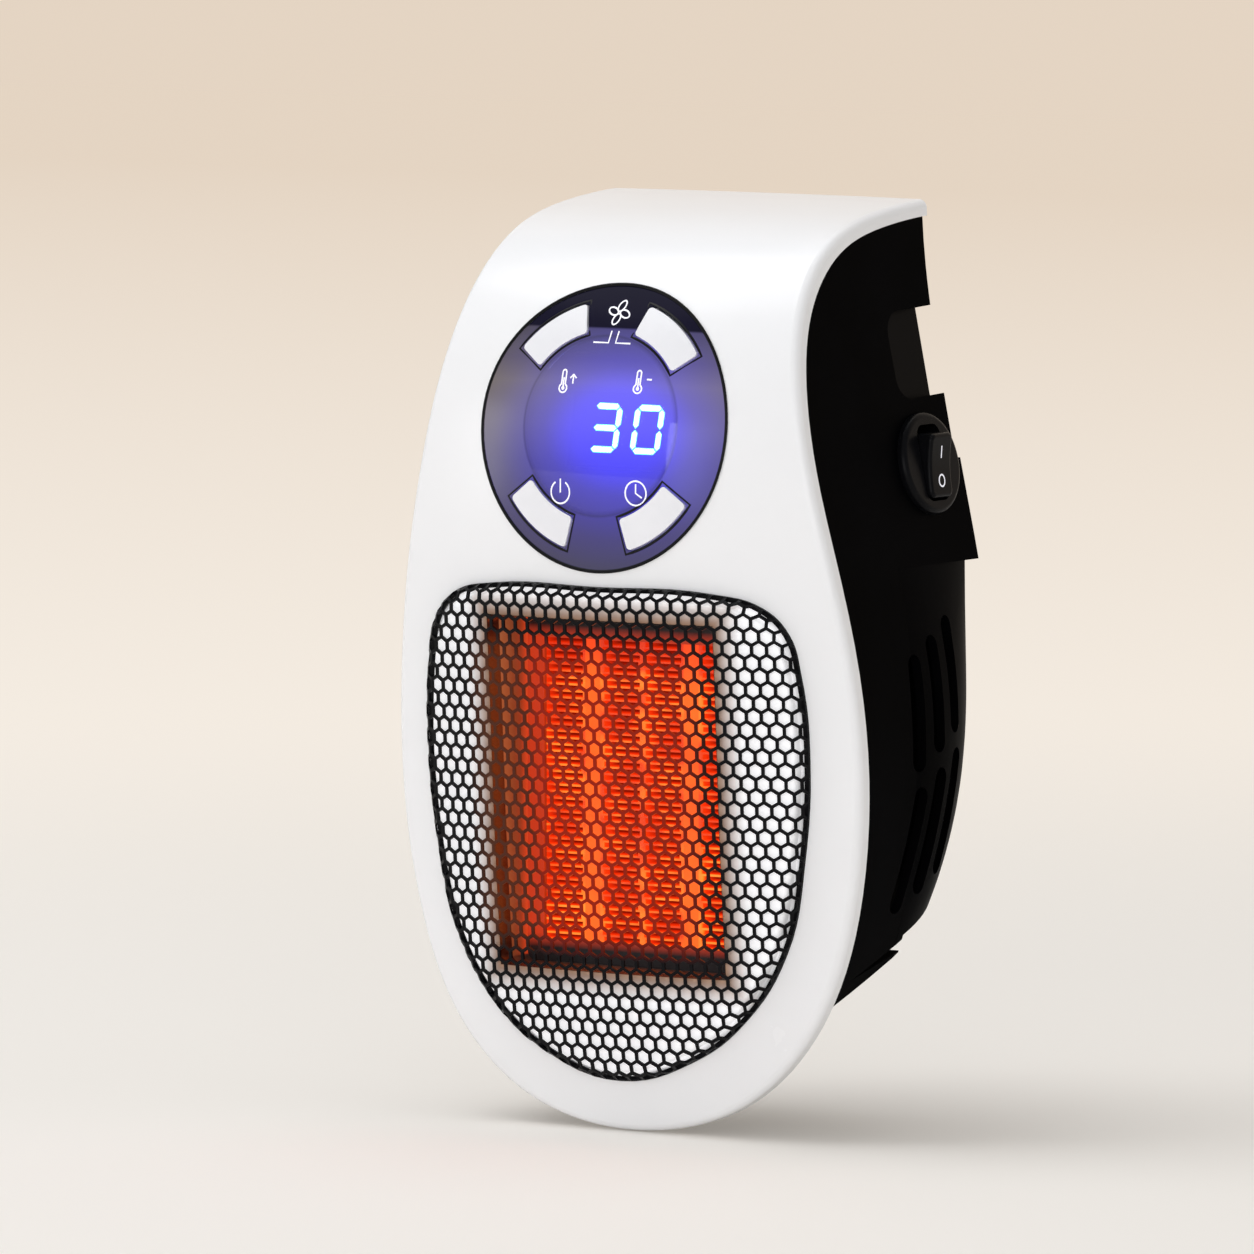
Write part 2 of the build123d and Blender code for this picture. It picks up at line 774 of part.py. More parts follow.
with BuildPart() as motor_shaft:
    add(bars(shaft_radius, hub_place, shaft_front, shaft_rear))
motor_shaft.part.label = "motor_shaft"
export_step(motor_shaft.part, "parts/motor_shaft.step")

# Impeller: a hub and tilted blades, trimmed to a short cylinder
impeller_middle = Location((0, back((impeller_front + impeller_rear) / 2), up(fan_height)))
with BuildPart() as impeller_blades:
    with Locations(impeller_middle):
        with Locations(*[Rotation(0, blade * 360 / blade_count, 0) for blade in range(blade_count)]):
            with Locations(Location((impeller_radius / 2, 0, 0), (blade_pitch, 0, 0))):
                Box(impeller_radius, 2 * (impeller_rear - impeller_front), blade_thick)
with BuildPart() as fan_impeller:
    add(bars(impeller_radius, hub_place, impeller_front, impeller_rear))
    add(impeller_blades.part, mode=Mode.INTERSECT)
    add(bars(hub_radius, hub_place, impeller_front, impeller_rear))
    add(bars(shaft_radius, hub_place, shaft_front, impeller_rear), mode=Mode.SUBTRACT)
fan_impeller.part.label = "fan_impeller"
export_step(fan_impeller.part, "parts/fan_impeller.step")

# Power board and the parts on its back
power_middle = (0, (power_bottom + power_top) / 2)
with BuildPart() as power_board:
    add(block(2 * power_half, power_top - power_bottom, power_middle, power_front, board_depth))
    add(bars(small_shank + hole_slack, power_post_places, power_front, board_depth), mode=Mode.SUBTRACT)
power_board.part.label = "power_board"
export_step(power_board.part, "parts/power_board.step")

left_row = -parts_spacing
right_row = parts_spacing
high_row = power_middle[1] + parts_spacing
low_row = power_middle[1] - parts_spacing
with BuildPart() as power_parts:
    add(block(relay_width, relay_height, (left_row, high_row), board_depth, board_depth + relay_thick))
    add(block(converter_width, converter_height, (right_row, high_row), board_depth,
              board_depth + converter_thick))
    add(block(block_width, block_height, (left_row, low_row), board_depth, board_depth + block_thick))
    add(bars(capacitor_radius, [(right_row, low_row)], board_depth, board_depth + capacitor_length))
power_parts.part.label = "power_parts"
export_step(power_parts.part, "parts/power_parts.step")


# Rear housing. Its lower cowl narrows towards the back through three outlines
def cowl(inset, peak, rear):
    outlines = [
        (inset + housing_inset, belly_height, cowl_front_half, cowl_front_top_half, cowl_crease),
        (inset + cowl_middle_bottom, cowl_middle_belly, cowl_middle_half, cowl_middle_top_half, cowl_middle),
        (inset + cowl_rear_bottom, cowl_rear_belly, cowl_rear_half, cowl_rear_top_half, rear),
    ]
    with BuildPart(mode=Mode.PRIVATE) as shape:
        for bottom, belly, half, narrow, depth in outlines:
            right = half_outline(bottom, belly, cowl_top, half - inset, narrow - inset, cowl_side_shares)
            add(outline_sketch(right, bottom, peak, depth))
        loft()
    return shape.part


# Everything above a level, between two depths
def above(level, front, rear):
    return block(4 * belly_half, 2 * height, (0, level + height), front, rear)


# A slot through both side walls, outside a given half width, leaning in the side view
def side_slot(top_depth, top_rise, length, lean, inner_half):
    turn = math.radians(lean)
    middle = (back(top_depth - length / 2 * math.sin(turn)), up(top_rise - length / 2 * math.cos(turn)))
    with BuildPart(mode=Mode.PRIVATE) as shape:
        with BuildSketch(Plane.YZ.offset(inner_half)):
            with Locations(middle):
                SlotOverall(length, slot_width, rotation=90 - lean)
        extrude(amount=belly_half)
        mirror(about=Plane.YZ)
    return shape.part


# The grip's slanted pocket, on the right and mirrored, grown all round by a wall
def grip_pocket(grow):
    lean = math.radians(grip_lean)
    inward = Vector(-math.sin(lean), math.cos(lean), 0)
    outward = Vector(math.cos(lean), math.sin(lean), math.sin(lean)).normalized()
    corner = Vector(grip_start_half, back(grip_front), up((grip_bottom + grip_top) / 2))
    place = Plane(origin=corner - outward * grow, x_dir=inward, z_dir=outward)
    reach = rear_depth - grip_front + 2 * overrun
    with BuildPart(mode=Mode.PRIVATE) as shape:
        with BuildSketch(place):
            with Locations((reach / 2 - grow, 0)):
                RectangleRounded(reach, grip_top - grip_bottom + 2 * grow, grip_corner + grow)
        extrude(amount=top_half)
        mirror(about=Plane.YZ)
    return shape.part


inner_depth = rear_depth - housing_wall
shelf_top = cowl_top + housing_wall
well_radius = case_head + hole_slack + well_wall
with BuildPart() as housing_outer:
    add(outline_prism(housing_inset, 0, cowl_crease))
    add(cowl(0, shelf_top, cowl_depth))
    add(above(cowl_top, cowl_crease, cowl_depth), mode=Mode.SUBTRACT)
    with BuildPart(mode=Mode.PRIVATE) as upper_outer:
        add(outline_prism(housing_inset, cowl_crease, belt_depth))
        add(above(cowl_top, cowl_crease, belt_depth), mode=Mode.INTERSECT)
        add(above(belt_top, rear_depth, belt_depth), mode=Mode.SUBTRACT)
    add(upper_outer.part)
with BuildPart() as housing_inner:
    add(outline_prism(housing_inset + housing_wall, 0, cowl_crease))
    add(cowl(housing_wall, shelf_top + housing_wall, cowl_depth - housing_wall))
    with BuildPart(mode=Mode.PRIVATE) as upper_inner:
        add(outline_prism(housing_inset + housing_wall, cowl_crease, inner_depth))
        add(above(shelf_top, cowl_crease, inner_depth), mode=Mode.INTERSECT)
    add(upper_inner.part)
    add(under(housing_wall, underside_step_depth - housing_wall), mode=Mode.SUBTRACT)

with BuildPart() as chin:
    add(outline_prism(chin_inset, 0, cowl_crease))
    add(skirt_back, mode=Mode.INTERSECT)
    add(behind_front(panel_skirt + housing_wall), mode=Mode.SUBTRACT)
    add(above(chin_top, 0, cowl_crease), mode=Mode.SUBTRACT)
with BuildPart() as grip_walls:
    add(grip_pocket(housing_wall))
    add(housing_outer.part, mode=Mode.INTERSECT)
with BuildPart() as wedge_vents:
    with BuildSketch(Plane.YZ.offset(wedge_half)):
        with BuildLine():
            Polyline(
                (back(wedge_tip_depth), up(wedge_tip_height)),
                (back(underside_step_depth + housing_wall), up(underside_step_low + wedge_lip)),
                (back(underside_step_depth + housing_wall), up(underside_step_high)),
                close=True,
            )
        make_face()
    extrude(amount=belly_half)
    mirror(about=Plane.YZ)
boss_rear = belt_depth + boss_proud
lip_front = boss_rear - boss_lip
plug_axis = [(0, plug_height)]
head_seat = well_front + well_floor
rear_slot_places = [(0, rear_slot_low), (0, rear_slot_high)]
switch_turn = math.radians(switch_wall_lean)
switch_out = Vector(math.cos(switch_turn), 0, math.sin(switch_turn))
switch_spot = Vector(switch_wall_half, back(switch_depth), up(switch_height)) + switch_out * switch_seat_gap
switch_plane = Plane(origin=switch_spot, x_dir=(0, 1, 0), z_dir=switch_out)
with BuildPart() as switch_hole:
    with BuildSketch(switch_plane.offset(-barrel_length)):
        Circle(barrel_radius + barrel_gap)
    extrude(amount=2 * barrel_length)
with BuildPart() as rear_slots:
    with BuildSketch(facing(cowl_depth - 2 * housing_wall)):
        for place in rear_slot_places:
            with Locations((place[0], up(place[1]))):
                with GridLocations(rear_slot_pitch, 1, rear_slot_columns, 1):
                    SlotOverall(rear_slot_length, slot_width, rotation=90)
    extrude(amount=4 * housing_wall, dir=(0, 1, 0))
slots = [rear_slots.part]
for column in range(side_slot_columns):
    column_depth = side_slot_first + column * side_slot_pitch
    high_top = side_slot_bottom + side_slot_length + column * side_slot_rise
    low_top = low_slot_top + column * side_slot_rise
    slots.append(side_slot(column_depth, high_top, side_slot_length, 0, side_cut_half))
    slots.append(side_slot(column_depth + low_slot_shift, low_top, low_slot_length, low_slot_lean,
                           side_low_cut_half))
screw_angles = [90 + turn * 360 / retainer_screw_count for turn in range(retainer_screw_count)]
retainer_screw_places = [(x, z + plug_height) for x, z in
                         [on_circle(retainer_screw_circle, angle) for angle in screw_angles]]
retainer_front = boss_front - retainer_wall
retainer_screw_tip = retainer_front + retainer_screw_length
with BuildPart() as rear_housing:
    add(housing_outer.part)
    add(skirt_back, mode=Mode.INTERSECT)
    add(under(0, underside_step_depth), mode=Mode.SUBTRACT)
    add(housing_inner.part, mode=Mode.SUBTRACT)
    add([
        chin.part,
        grip_walls.part,
        bars(well_radius, well_places, well_front, rear_depth),
        bars(boss_radius, plug_axis, boss_front, boss_rear),
    ])
    add(grip_pocket(0), mode=Mode.SUBTRACT)
    add([wedge_vents.part, switch_hole.part, *slots], mode=Mode.SUBTRACT)
    add(bars(case_head + hole_slack, well_places, head_seat, cowl_depth), mode=Mode.SUBTRACT)
    add(bars(case_shank + hole_slack, well_places, well_front, head_seat), mode=Mode.SUBTRACT)
    add(bars(turntable_radius + turn_slack, plug_axis, boss_front, lip_front), mode=Mode.SUBTRACT)
    add(bars(plug_radius + turn_slack, plug_axis, boss_front, boss_rear), mode=Mode.SUBTRACT)
    thread_end = retainer_screw_tip + hole_slack
    add(bars(retainer_shank + shank_slack, retainer_screw_places, boss_front, thread_end),
        mode=Mode.SUBTRACT)
rear_housing.part.label = "rear_housing"
export_step(rear_housing.part, "parts/rear_housing.step")

# Rocker switch: bezel with its pocket, the tilted rocker on two stub pins, and two blades behind
pivot_spot = switch_spot - switch_out * pivot_depth
pivot_length = pocket_width / 2 + pivot_reach
blade_places = [(0, terminal_spacing / 2), (0, -terminal_spacing / 2)]
blade_root = barrel_length - ear_wall
with BuildPart() as pivot_hole:
    with BuildSketch(Plane(origin=pivot_spot, x_dir=(1, 0, 0), z_dir=(0, 1, 0))):
        Circle(pivot_radius + pivot_slack)
    extrude(amount=pivot_length, both=True)
with BuildPart() as switch_terminals:
    with BuildSketch(switch_plane.offset(-blade_root)):
        with Locations(*blade_places):
            Rectangle(terminal_width, terminal_thick)
    extrude(amount=-terminal_reach - ear_wall)
switch_terminals.part.label = "switch_terminals"
export_step(switch_terminals.part, "parts/switch_terminals.step")

with BuildPart() as switch_bezel:
    with BuildSketch(switch_plane):
        Circle(bezel_radius)
    extrude(amount=bezel_thick)
    fillet(switch_bezel.edges().filter_by(GeomType.CIRCLE).sort_by(Axis.X)[-1], bezel_round)
    with BuildSketch(switch_plane):
        Circle(barrel_radius)
    extrude(amount=-barrel_length)
    with BuildSketch(switch_plane.offset(bezel_thick)):
        RectangleRounded(pocket_width, pocket_length, pocket_corner)
    extrude(amount=-pocket_depth, mode=Mode.SUBTRACT)
    add([pivot_hole.part, switch_terminals.part], mode=Mode.SUBTRACT)
switch_bezel.part.label = "switch_bezel"
export_step(switch_bezel.part, "parts/switch_bezel.step")

rocker_turn = math.radians(switch_wall_lean - rocker_tilt)
rocker_out = Vector(math.cos(rocker_turn), 0, math.sin(rocker_turn))
rocker_up = Vector(-math.sin(rocker_turn), 0, math.cos(rocker_turn))
with BuildPart() as rocker_plan:
    with BuildSketch(Plane(origin=pivot_spot, x_dir=(0, 1, 0), z_dir=rocker_out)):
        RectangleRounded(rocker_width, 2 * rocker_half_length, rocker_corner)
    extrude(amount=rocker_front + rocker_back, both=True)
with BuildPart() as switch_rocker:
    with BuildSketch(Plane(origin=pivot_spot, x_dir=rocker_up, z_dir=(0, 1, 0))):
        with BuildLine():
            ThreePointArc((-rocker_half_length, rocker_front), (0, rocker_front - rocker_dip),
                          (rocker_half_length, rocker_front))
            Polyline((rocker_half_length, rocker_front), (rocker_half_length, rocker_shoulder),
                     (rocker_back_half, -rocker_back), (-rocker_back_half, -rocker_back),
                     (-rocker_half_length, rocker_shoulder), (-rocker_half_length, rocker_front))
        make_face()
    extrude(amount=rocker_width / 2, both=True)
    add(rocker_plan.part, mode=Mode.INTERSECT)
    rocker_face = switch_rocker.faces().filter_by(GeomType.CYLINDER).sort_by(SortBy.AREA)[-1]
    fillet(rocker_face.edges(), rocker_round)
    with BuildSketch(Plane(origin=pivot_spot, x_dir=(1, 0, 0), z_dir=(0, 1, 0))):
        Circle(pivot_radius)
    extrude(amount=rocker_width / 2 + pivot_reach, both=True)
switch_rocker.part.label = "switch_rocker"
export_step(switch_rocker.part, "parts/switch_rocker.step")

# Plug: a flanged turntable in the housing's boss, its pins and the ring that keeps it in
flange_front_depth = boss_front + turn_end_gap
flange_rear_depth = lip_front - turn_end_gap
pin_places = [(-pin_spacing / 2, plug_height), (pin_spacing / 2, plug_height)]
with BuildPart() as plug_turntable:
    add(bars(plug_radius, plug_axis, flange_front_depth, plug_face_depth))
    fillet(plug_turntable.edges().sort_by(Axis.Y)[-1], plug_edge_round)
    add(bars(turntable_radius, plug_axis, flange_front_depth, flange_rear_depth))
    add(bars(pin_tail_radius + pin_slack, pin_places, flange_front_depth, pin_root), mode=Mode.SUBTRACT)
    add(bars(pin_neck_radius + pin_slack, pin_places, pin_root, plug_face_depth), mode=Mode.SUBTRACT)
plug_turntable.part.label = "plug_turntable"
export_step(plug_turntable.part, "parts/plug_turntable.step")

with BuildPart() as plug_pins:
    add(bars(pin_radius, pin_places, plug_face_depth + pin_neck_reach, plug_face_depth + pin_reach))
    fillet(plug_pins.faces().sort_by(Axis.Y)[-2:].edges(), pin_round)
    add(bars(pin_neck_radius, pin_places, pin_root, plug_face_depth + pin_neck_reach))
    add(bars(pin_tail_radius, pin_places, pin_tail, pin_root))
plug_pins.part.label = "plug_pins"
export_step(plug_pins.part, "parts/plug_pins.step")

with BuildPart() as plug_retainer:
    add(bars(boss_radius, plug_axis, retainer_front, boss_front))
    add(bars(retainer_bore, plug_axis, retainer_front, boss_front), mode=Mode.SUBTRACT)
    add(bars(retainer_shank + hole_slack, retainer_screw_places, retainer_front, boss_front),
        mode=Mode.SUBTRACT)
plug_retainer.part.label = "plug_retainer"
export_step(plug_retainer.part, "parts/plug_retainer.step")


# Screws of one kind, with their heads behind or in front of the seat
def screws(places, shank, length, head, head_height, seat, way):
    with BuildPart(mode=Mode.PRIVATE) as shape:
        tip = seat - way * length
        crest = seat + way * head_height
        add(bars(shank, places, min(tip, seat), max(tip, seat)))
        add(bars(head, places, min(seat, crest), max(seat, crest)))
    return shape.part


with BuildPart() as case_screws:
    add(screws(well_places, case_shank, case_length, case_head, case_head_height, head_seat, 1))
case_screws.part.label = "case_screws"
export_step(case_screws.part, "parts/case_screws.step")

with BuildPart() as frame_screws:
    add(screws(ear_places, small_shank, ear_screw_length, small_head, small_head_height, shroud_front, 1))
frame_screws.part.label = "frame_screws"
export_step(frame_screws.part, "parts/frame_screws.step")

with BuildPart() as retainer_screws:
    add(screws(retainer_screw_places, retainer_shank, retainer_screw_length, retainer_head,
               retainer_head_height, retainer_front, -1))
retainer_screws.part.label = "retainer_screws"
export_step(retainer_screws.part, "parts/retainer_screws.step")

with BuildPart() as board_screws:
    add(screws(power_post_places, small_shank, small_length, small_head, small_head_height, board_depth, 1))
    add(lens_bars(small_shank, board_boss_places, board_rear - board_screw_length, board_rear))
    add(lens_bars(small_head, board_boss_places, board_rear, board_rear + small_head_height))
board_screws.part.label = "board_screws"
export_step(board_screws.part, "parts/board_screws.step")
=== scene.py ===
# %% [markdown]
# # A plug-in fan heater
# The heater's shell, boards, fan and heating core come from its construction model.
# This lesson loads them, gives every piece its finish, and models what the construction
# keeps coarse: the fine honeycomb grille, the lit number and the printed symbols.

# %% Load the construction model
import math
import bpy
from mathutils import Matrix, Vector
from mathutils.bvhtree import BVHTree


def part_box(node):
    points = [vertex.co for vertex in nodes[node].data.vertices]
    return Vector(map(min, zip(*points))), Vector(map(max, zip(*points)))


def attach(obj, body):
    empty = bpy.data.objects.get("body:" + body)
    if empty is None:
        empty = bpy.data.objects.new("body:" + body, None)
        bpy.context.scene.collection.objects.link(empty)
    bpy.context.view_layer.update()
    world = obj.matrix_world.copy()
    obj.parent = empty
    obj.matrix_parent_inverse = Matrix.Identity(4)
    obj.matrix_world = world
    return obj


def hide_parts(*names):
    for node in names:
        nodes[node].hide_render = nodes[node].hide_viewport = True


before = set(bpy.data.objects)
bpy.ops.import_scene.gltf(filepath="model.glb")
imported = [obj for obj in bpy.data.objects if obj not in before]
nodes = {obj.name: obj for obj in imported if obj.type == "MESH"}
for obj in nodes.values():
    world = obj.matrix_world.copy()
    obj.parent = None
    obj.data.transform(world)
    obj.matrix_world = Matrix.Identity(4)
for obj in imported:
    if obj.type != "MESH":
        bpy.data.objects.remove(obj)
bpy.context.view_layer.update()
MM = 0.001

# %% [markdown]
# ## Places on the heater
# Heights are counted from the foot of the panel and depths from its foremost line, in
# millimetres, as the maker would measure them. The model's own origin is the face of the
# plug, so one small function turns such measures into a place. The lens leans back by
# 11 degrees and has directions of its own: across, up and out.

# %% Measures and the lens plane
PLUG_HEIGHT = 133.0
PLUG_FACE_DEPTH = 88.1
LENS_TILT = math.radians(11)


def spot(x, rise, depth):
    return Vector((x, depth - PLUG_FACE_DEPTH, rise - PLUG_HEIGHT)) * MM


LENS_CENTRE = spot(0, 151.8, 0.8)
LENS_ACROSS = Vector((1, 0, 0))
LENS_UP = Vector((0, math.sin(LENS_TILT), math.cos(LENS_TILT)))
LENS_OUT = Vector((0, -math.cos(LENS_TILT), math.sin(LENS_TILT)))
print("lens centre", [round(c, 4) for c in LENS_CENTRE])

# %% [markdown]
# ## Camera
# The heater was photographed from its front right with a long lens, a little from above.
# A short lens close by would make the upright lines lean, so the camera stands three
# metres off and its long lens fills the frame with the heater.

# %% Camera
VIEW_TARGET = Vector((-0.0004, -0.07519, -0.02513))
VIEW_TURN = math.radians(33)
VIEW_RISE = math.radians(5)
VIEW_DISTANCE = 3.0
VIEW_END = 20
FOCAL_LENGTH = 404.8
SENSOR_WIDTH = 36
towards_camera = Vector((math.sin(VIEW_TURN) * math.cos(VIEW_RISE),
                         -math.cos(VIEW_TURN) * math.cos(VIEW_RISE), math.sin(VIEW_RISE)))
bpy.ops.object.camera_add(location=VIEW_TARGET + towards_camera * VIEW_DISTANCE)
camera = bpy.context.object
camera.name = "camera"
camera.rotation_euler = towards_camera.to_track_quat("Z", "Y").to_euler()
camera.data.lens = FOCAL_LENGTH
camera.data.sensor_width = SENSOR_WIDTH
camera.data.clip_end = VIEW_END
bpy.context.scene.camera = camera
bpy.context.scene.view_settings.view_transform = "Standard"
print("camera at", [round(c, 3) for c in camera.location])

# %% [markdown]
# ## Light
# Gloss plastic shows whatever lights it, so the lamps are large soft panels and not small
# hard ones. The key lamp stands high on the left and throws the shadow softly to the right,
# the front lamp evens the white panel, and a weak lamp above and behind lifts the roof. Two
# narrow strips on the left add soft upright streaks of shine.

# %% World and lamps
DAYLIGHT = (0.98, 0.99, 1.0)
FRONT_LIGHT = (0.975, 0.985, 1.0)
STRIP_LIGHT = (0.95, 0.95, 1.0)
WORLD_STRENGTH = 0.48
world = bpy.data.worlds.new("studio")
world.use_nodes = True
bpy.context.scene.world = world
world.node_tree.nodes["Background"].inputs["Color"].default_value = (*DAYLIGHT, 1)
world.node_tree.nodes["Background"].inputs["Strength"].default_value = WORLD_STRENGTH


def soft_lamp(name, place, size, power, colour):
    bpy.ops.object.light_add(type="AREA", location=place)
    lamp = bpy.context.object
    lamp.name = name
    lamp.rotation_euler = (Vector(place) - VIEW_TARGET).to_track_quat("Z", "Y").to_euler()
    lamp.data.shape = "RECTANGLE"
    lamp.data.size, lamp.data.size_y = size
    lamp.data.energy = power
    lamp.data.color = colour
    return lamp


soft_lamp("key_lamp", (-0.80, -0.45, 1.70), (1.3, 1.3), 15.5, DAYLIGHT)
soft_lamp("front_lamp", (0.75, -1.50, -0.02), (1.3, 1.3), 12.6, FRONT_LIGHT)
soft_lamp("top_lamp", (-0.1, 0.3, 1.3), (0.8, 0.8), 2.5, DAYLIGHT)
soft_lamp("left_strip", (-1.25, -1.05, 0.05), (0.16, 0.5), 1.2, STRIP_LIGHT)
soft_lamp("right_strip", (-0.50, -1.55, 0.05), (0.16, 0.5), 0.7, STRIP_LIGHT)

# %% [markdown]
# ## Nodes that many finishes share
# A finish is a small tree of nodes, and the same few pieces come back in all of them: the
# place on the object, a number stretched to a new range, a row of colours, and two values
# joined. Writing each one out would hide what a finish does, so each gets a short function.

# %% Places, ranges, colours and sums
def new_material(name):
    material = bpy.data.materials.new(name)
    material.use_nodes = True
    tree = material.node_tree
    return material, tree, tree.nodes["Principled BSDF"]


def object_place(tree):
    return tree.nodes.new("ShaderNodeTexCoord").outputs["Object"]


def split_up(tree, place):
    node = tree.nodes.new("ShaderNodeSeparateXYZ")
    tree.links.new(place, node.inputs["Vector"])
    return node.outputs


def mapped(tree, value, start, end, low, high):
    node = tree.nodes.new("ShaderNodeMapRange")
    sockets = ("From Min", "From Max", "To Min", "To Max")
    for socket, number in zip(sockets, (start, end, low, high)):
        node.inputs[socket].default_value = number
    tree.links.new(value, node.inputs["Value"])
    return node.outputs["Result"]


def ramp_of(tree, value, stops):
    node = tree.nodes.new("ShaderNodeValToRGB")
    elements = node.color_ramp.elements
    for element, (place, colour) in zip(elements, (stops[0], stops[-1])):
        element.position = place
        element.color = (*colour, 1)
    for place, colour in stops[1:-1]:
        elements.new(place).color = (*colour, 1)
    tree.links.new(value, node.inputs["Fac"])
    return node.outputs["Color"]


def joined(tree, operation, first, second=0.0, whole=False):
    node = tree.nodes.new("ShaderNodeVectorMath" if whole else "ShaderNodeMath")
    node.operation = operation
    tree.links.new(first, node.inputs[0])
    if isinstance(second, bpy.types.NodeSocket):
        tree.links.new(second, node.inputs[1])
    else:
        node.inputs[1].default_value = second
    return node.outputs[0]


print("materials before the first finish", len(bpy.data.materials))

# %% [markdown]
# ## Floor and backdrop
# The heater stands on a pale sweep. Its brightness could come from more light, but that
# would bleach the heater, so the surface is mixed with a plain glow that only the camera,
# reflections and clear plastic see. Close to the heater most of the real surface is kept,
# because that carries the shadow.

# %% Pale surfaces for the stage
STAGE_ROUGHNESS = 0.8
STAGE_SHINE = 0.2
SHADOW_NEAR = 0.25
SHADOW_FAR = 0.95
FAR_SHARE = 0.97
FLOOR_NEAR = (0.97, 0.925, 0.86)
FLOOR_FAR = (0.79, 0.67, 0.55)
WALL_HIGH = (0.80, 0.69, 0.585)


def stage_material(name, colour, near_share, axis, ends, tones):
    material, tree, shader = new_material(name)
    shader.inputs["Base Color"].default_value = (*colour, 1)
    shader.inputs["Roughness"].default_value = STAGE_ROUGHNESS
    shader.inputs["Specular IOR Level"].default_value = STAGE_SHINE
    place = object_place(tree)
    along_axis = mapped(tree, split_up(tree, place)[axis], *ends, 0.0, 1.0)
    glow = tree.nodes.new("ShaderNodeEmission")
    tone = ramp_of(tree, along_axis, [(0.0, tones[0]), (1.0, tones[1])])
    tree.links.new(tone, glow.inputs["Color"])
    rays = tree.nodes.new("ShaderNodeLightPath").outputs
    seen = joined(tree, "MAXIMUM", rays["Is Camera Ray"], rays["Is Glossy Ray"])
    seen = joined(tree, "MAXIMUM", seen, rays["Is Transmission Ray"])
    away = tree.nodes.new("ShaderNodeVectorMath")
    away.operation = "LENGTH"
    tree.links.new(place, away.inputs[0])
    share = mapped(tree, away.outputs["Value"], SHADOW_NEAR, SHADOW_FAR, near_share, FAR_SHARE)
    share.node.interpolation_type = "SMOOTHSTEP"
    blend = tree.nodes.new("ShaderNodeMixShader")
    tree.links.new(joined(tree, "MULTIPLY", seen, share), blend.inputs["Fac"])
    tree.links.new(shader.outputs["BSDF"], blend.inputs[1])
    tree.links.new(glow.outputs["Emission"], blend.inputs[2])
    tree.links.new(blend.outputs["Shader"], tree.nodes["Material Output"].inputs["Surface"])
    return material


pale_floor = stage_material("pale_floor", (0.94, 0.91, 0.87), near_share=0.20, axis="Y",
                            ends=(-0.5, 3.0), tones=(FLOOR_NEAR, FLOOR_FAR))
pale_wall = stage_material("pale_wall", (0.80, 0.70, 0.60), near_share=FAR_SHARE, axis="Z",
                           ends=(-0.2, 0.5), tones=(FLOOR_FAR, WALL_HIGH))
print("stage surfaces", pale_floor.name, pale_wall.name)

# %% [markdown]
# ## Two planes for the stage
# A photographer's sweep is one bent sheet. Two large planes do the same here, since the far
# end of the floor and the foot of the wall have the same tone, so no edge shows. They are
# stage pieces, attached to no body of the heater.

# %% Floor and backdrop
STAGE_SIZE = 12
FLOOR_GAP = 0.3
WALL_PLACE = (0, 3.6, 3.0)


def nothing_selected():
    bpy.ops.object.select_all(action="DESELECT")


def stage_plane(name, place, turn, material):
    nothing_selected()
    bpy.ops.mesh.primitive_plane_add(size=STAGE_SIZE, location=place, rotation=turn)
    plane = bpy.context.object
    plane.name = name
    bpy.ops.object.transform_apply(location=True, rotation=True, scale=True)
    plane.data.materials.append(material)
    return plane


floor = stage_plane("floor", (0, 0, spot(0, -FLOOR_GAP, 0).z), (0, 0, 0), pale_floor)
wall = stage_plane("backdrop", WALL_PLACE, (math.radians(90), 0, 0), pale_wall)
print("stage", floor.name, wall.name)

# %% [markdown]
# ## Finishes
# Moulded plastic is never one flat colour: its gloss varies a little and fine texture breaks
# the highlight. A painted image would show its pixels close up, so each finish mixes two
# near tones by soft noise and adds a fine bump. The grain's size and depth are in
# millimetres.

# %% A finish from two tones, noise and a fine grain
CLOUD_SCALE = 45
CLOUD_DETAIL = 4
CLOUD_START = 0.35
CLOUD_END = 0.65
GRAIN_DETAIL = 2
GRAIN_STRENGTH = 0.6
COAT_ROUGHNESS = 0.12
LEAST_ROUGHNESS = 0.02


def noise_of(tree, place, scale, detail):
    node = tree.nodes.new("ShaderNodeTexNoise")
    node.inputs["Scale"].default_value = scale
    node.inputs["Detail"].default_value = detail
    tree.links.new(place, node.inputs["Vector"])
    return node.outputs["Fac"]


def finish(name, tone, second_tone, roughness, grain, depth, metallic=0.0, coat=0.0,
           spread=0.05, shine=0.5):
    material, tree, shader = new_material(name)
    place = object_place(tree)
    cloud = noise_of(tree, place, CLOUD_SCALE, CLOUD_DETAIL)
    tones = ramp_of(tree, cloud, [(CLOUD_START, tone), (CLOUD_END, second_tone)])
    tree.links.new(tones, shader.inputs["Base Color"])
    gloss = mapped(tree, cloud, 0.0, 1.0, max(roughness - spread, LEAST_ROUGHNESS),
                   roughness + spread)
    tree.links.new(gloss, shader.inputs["Roughness"])
    bump = tree.nodes.new("ShaderNodeBump")
    bump.inputs["Strength"].default_value = GRAIN_STRENGTH
    bump.inputs["Distance"].default_value = depth * MM
    grains = noise_of(tree, place, 1 / (grain * MM), GRAIN_DETAIL)
    tree.links.new(grains, bump.inputs["Height"])
    tree.links.new(bump.outputs["Normal"], shader.inputs["Normal"])
    shader.inputs["Metallic"].default_value = metallic
    shader.inputs["Specular IOR Level"].default_value = shine
    shader.inputs["Coat Weight"].default_value = coat
    shader.inputs["Coat Roughness"].default_value = COAT_ROUGHNESS
    return material


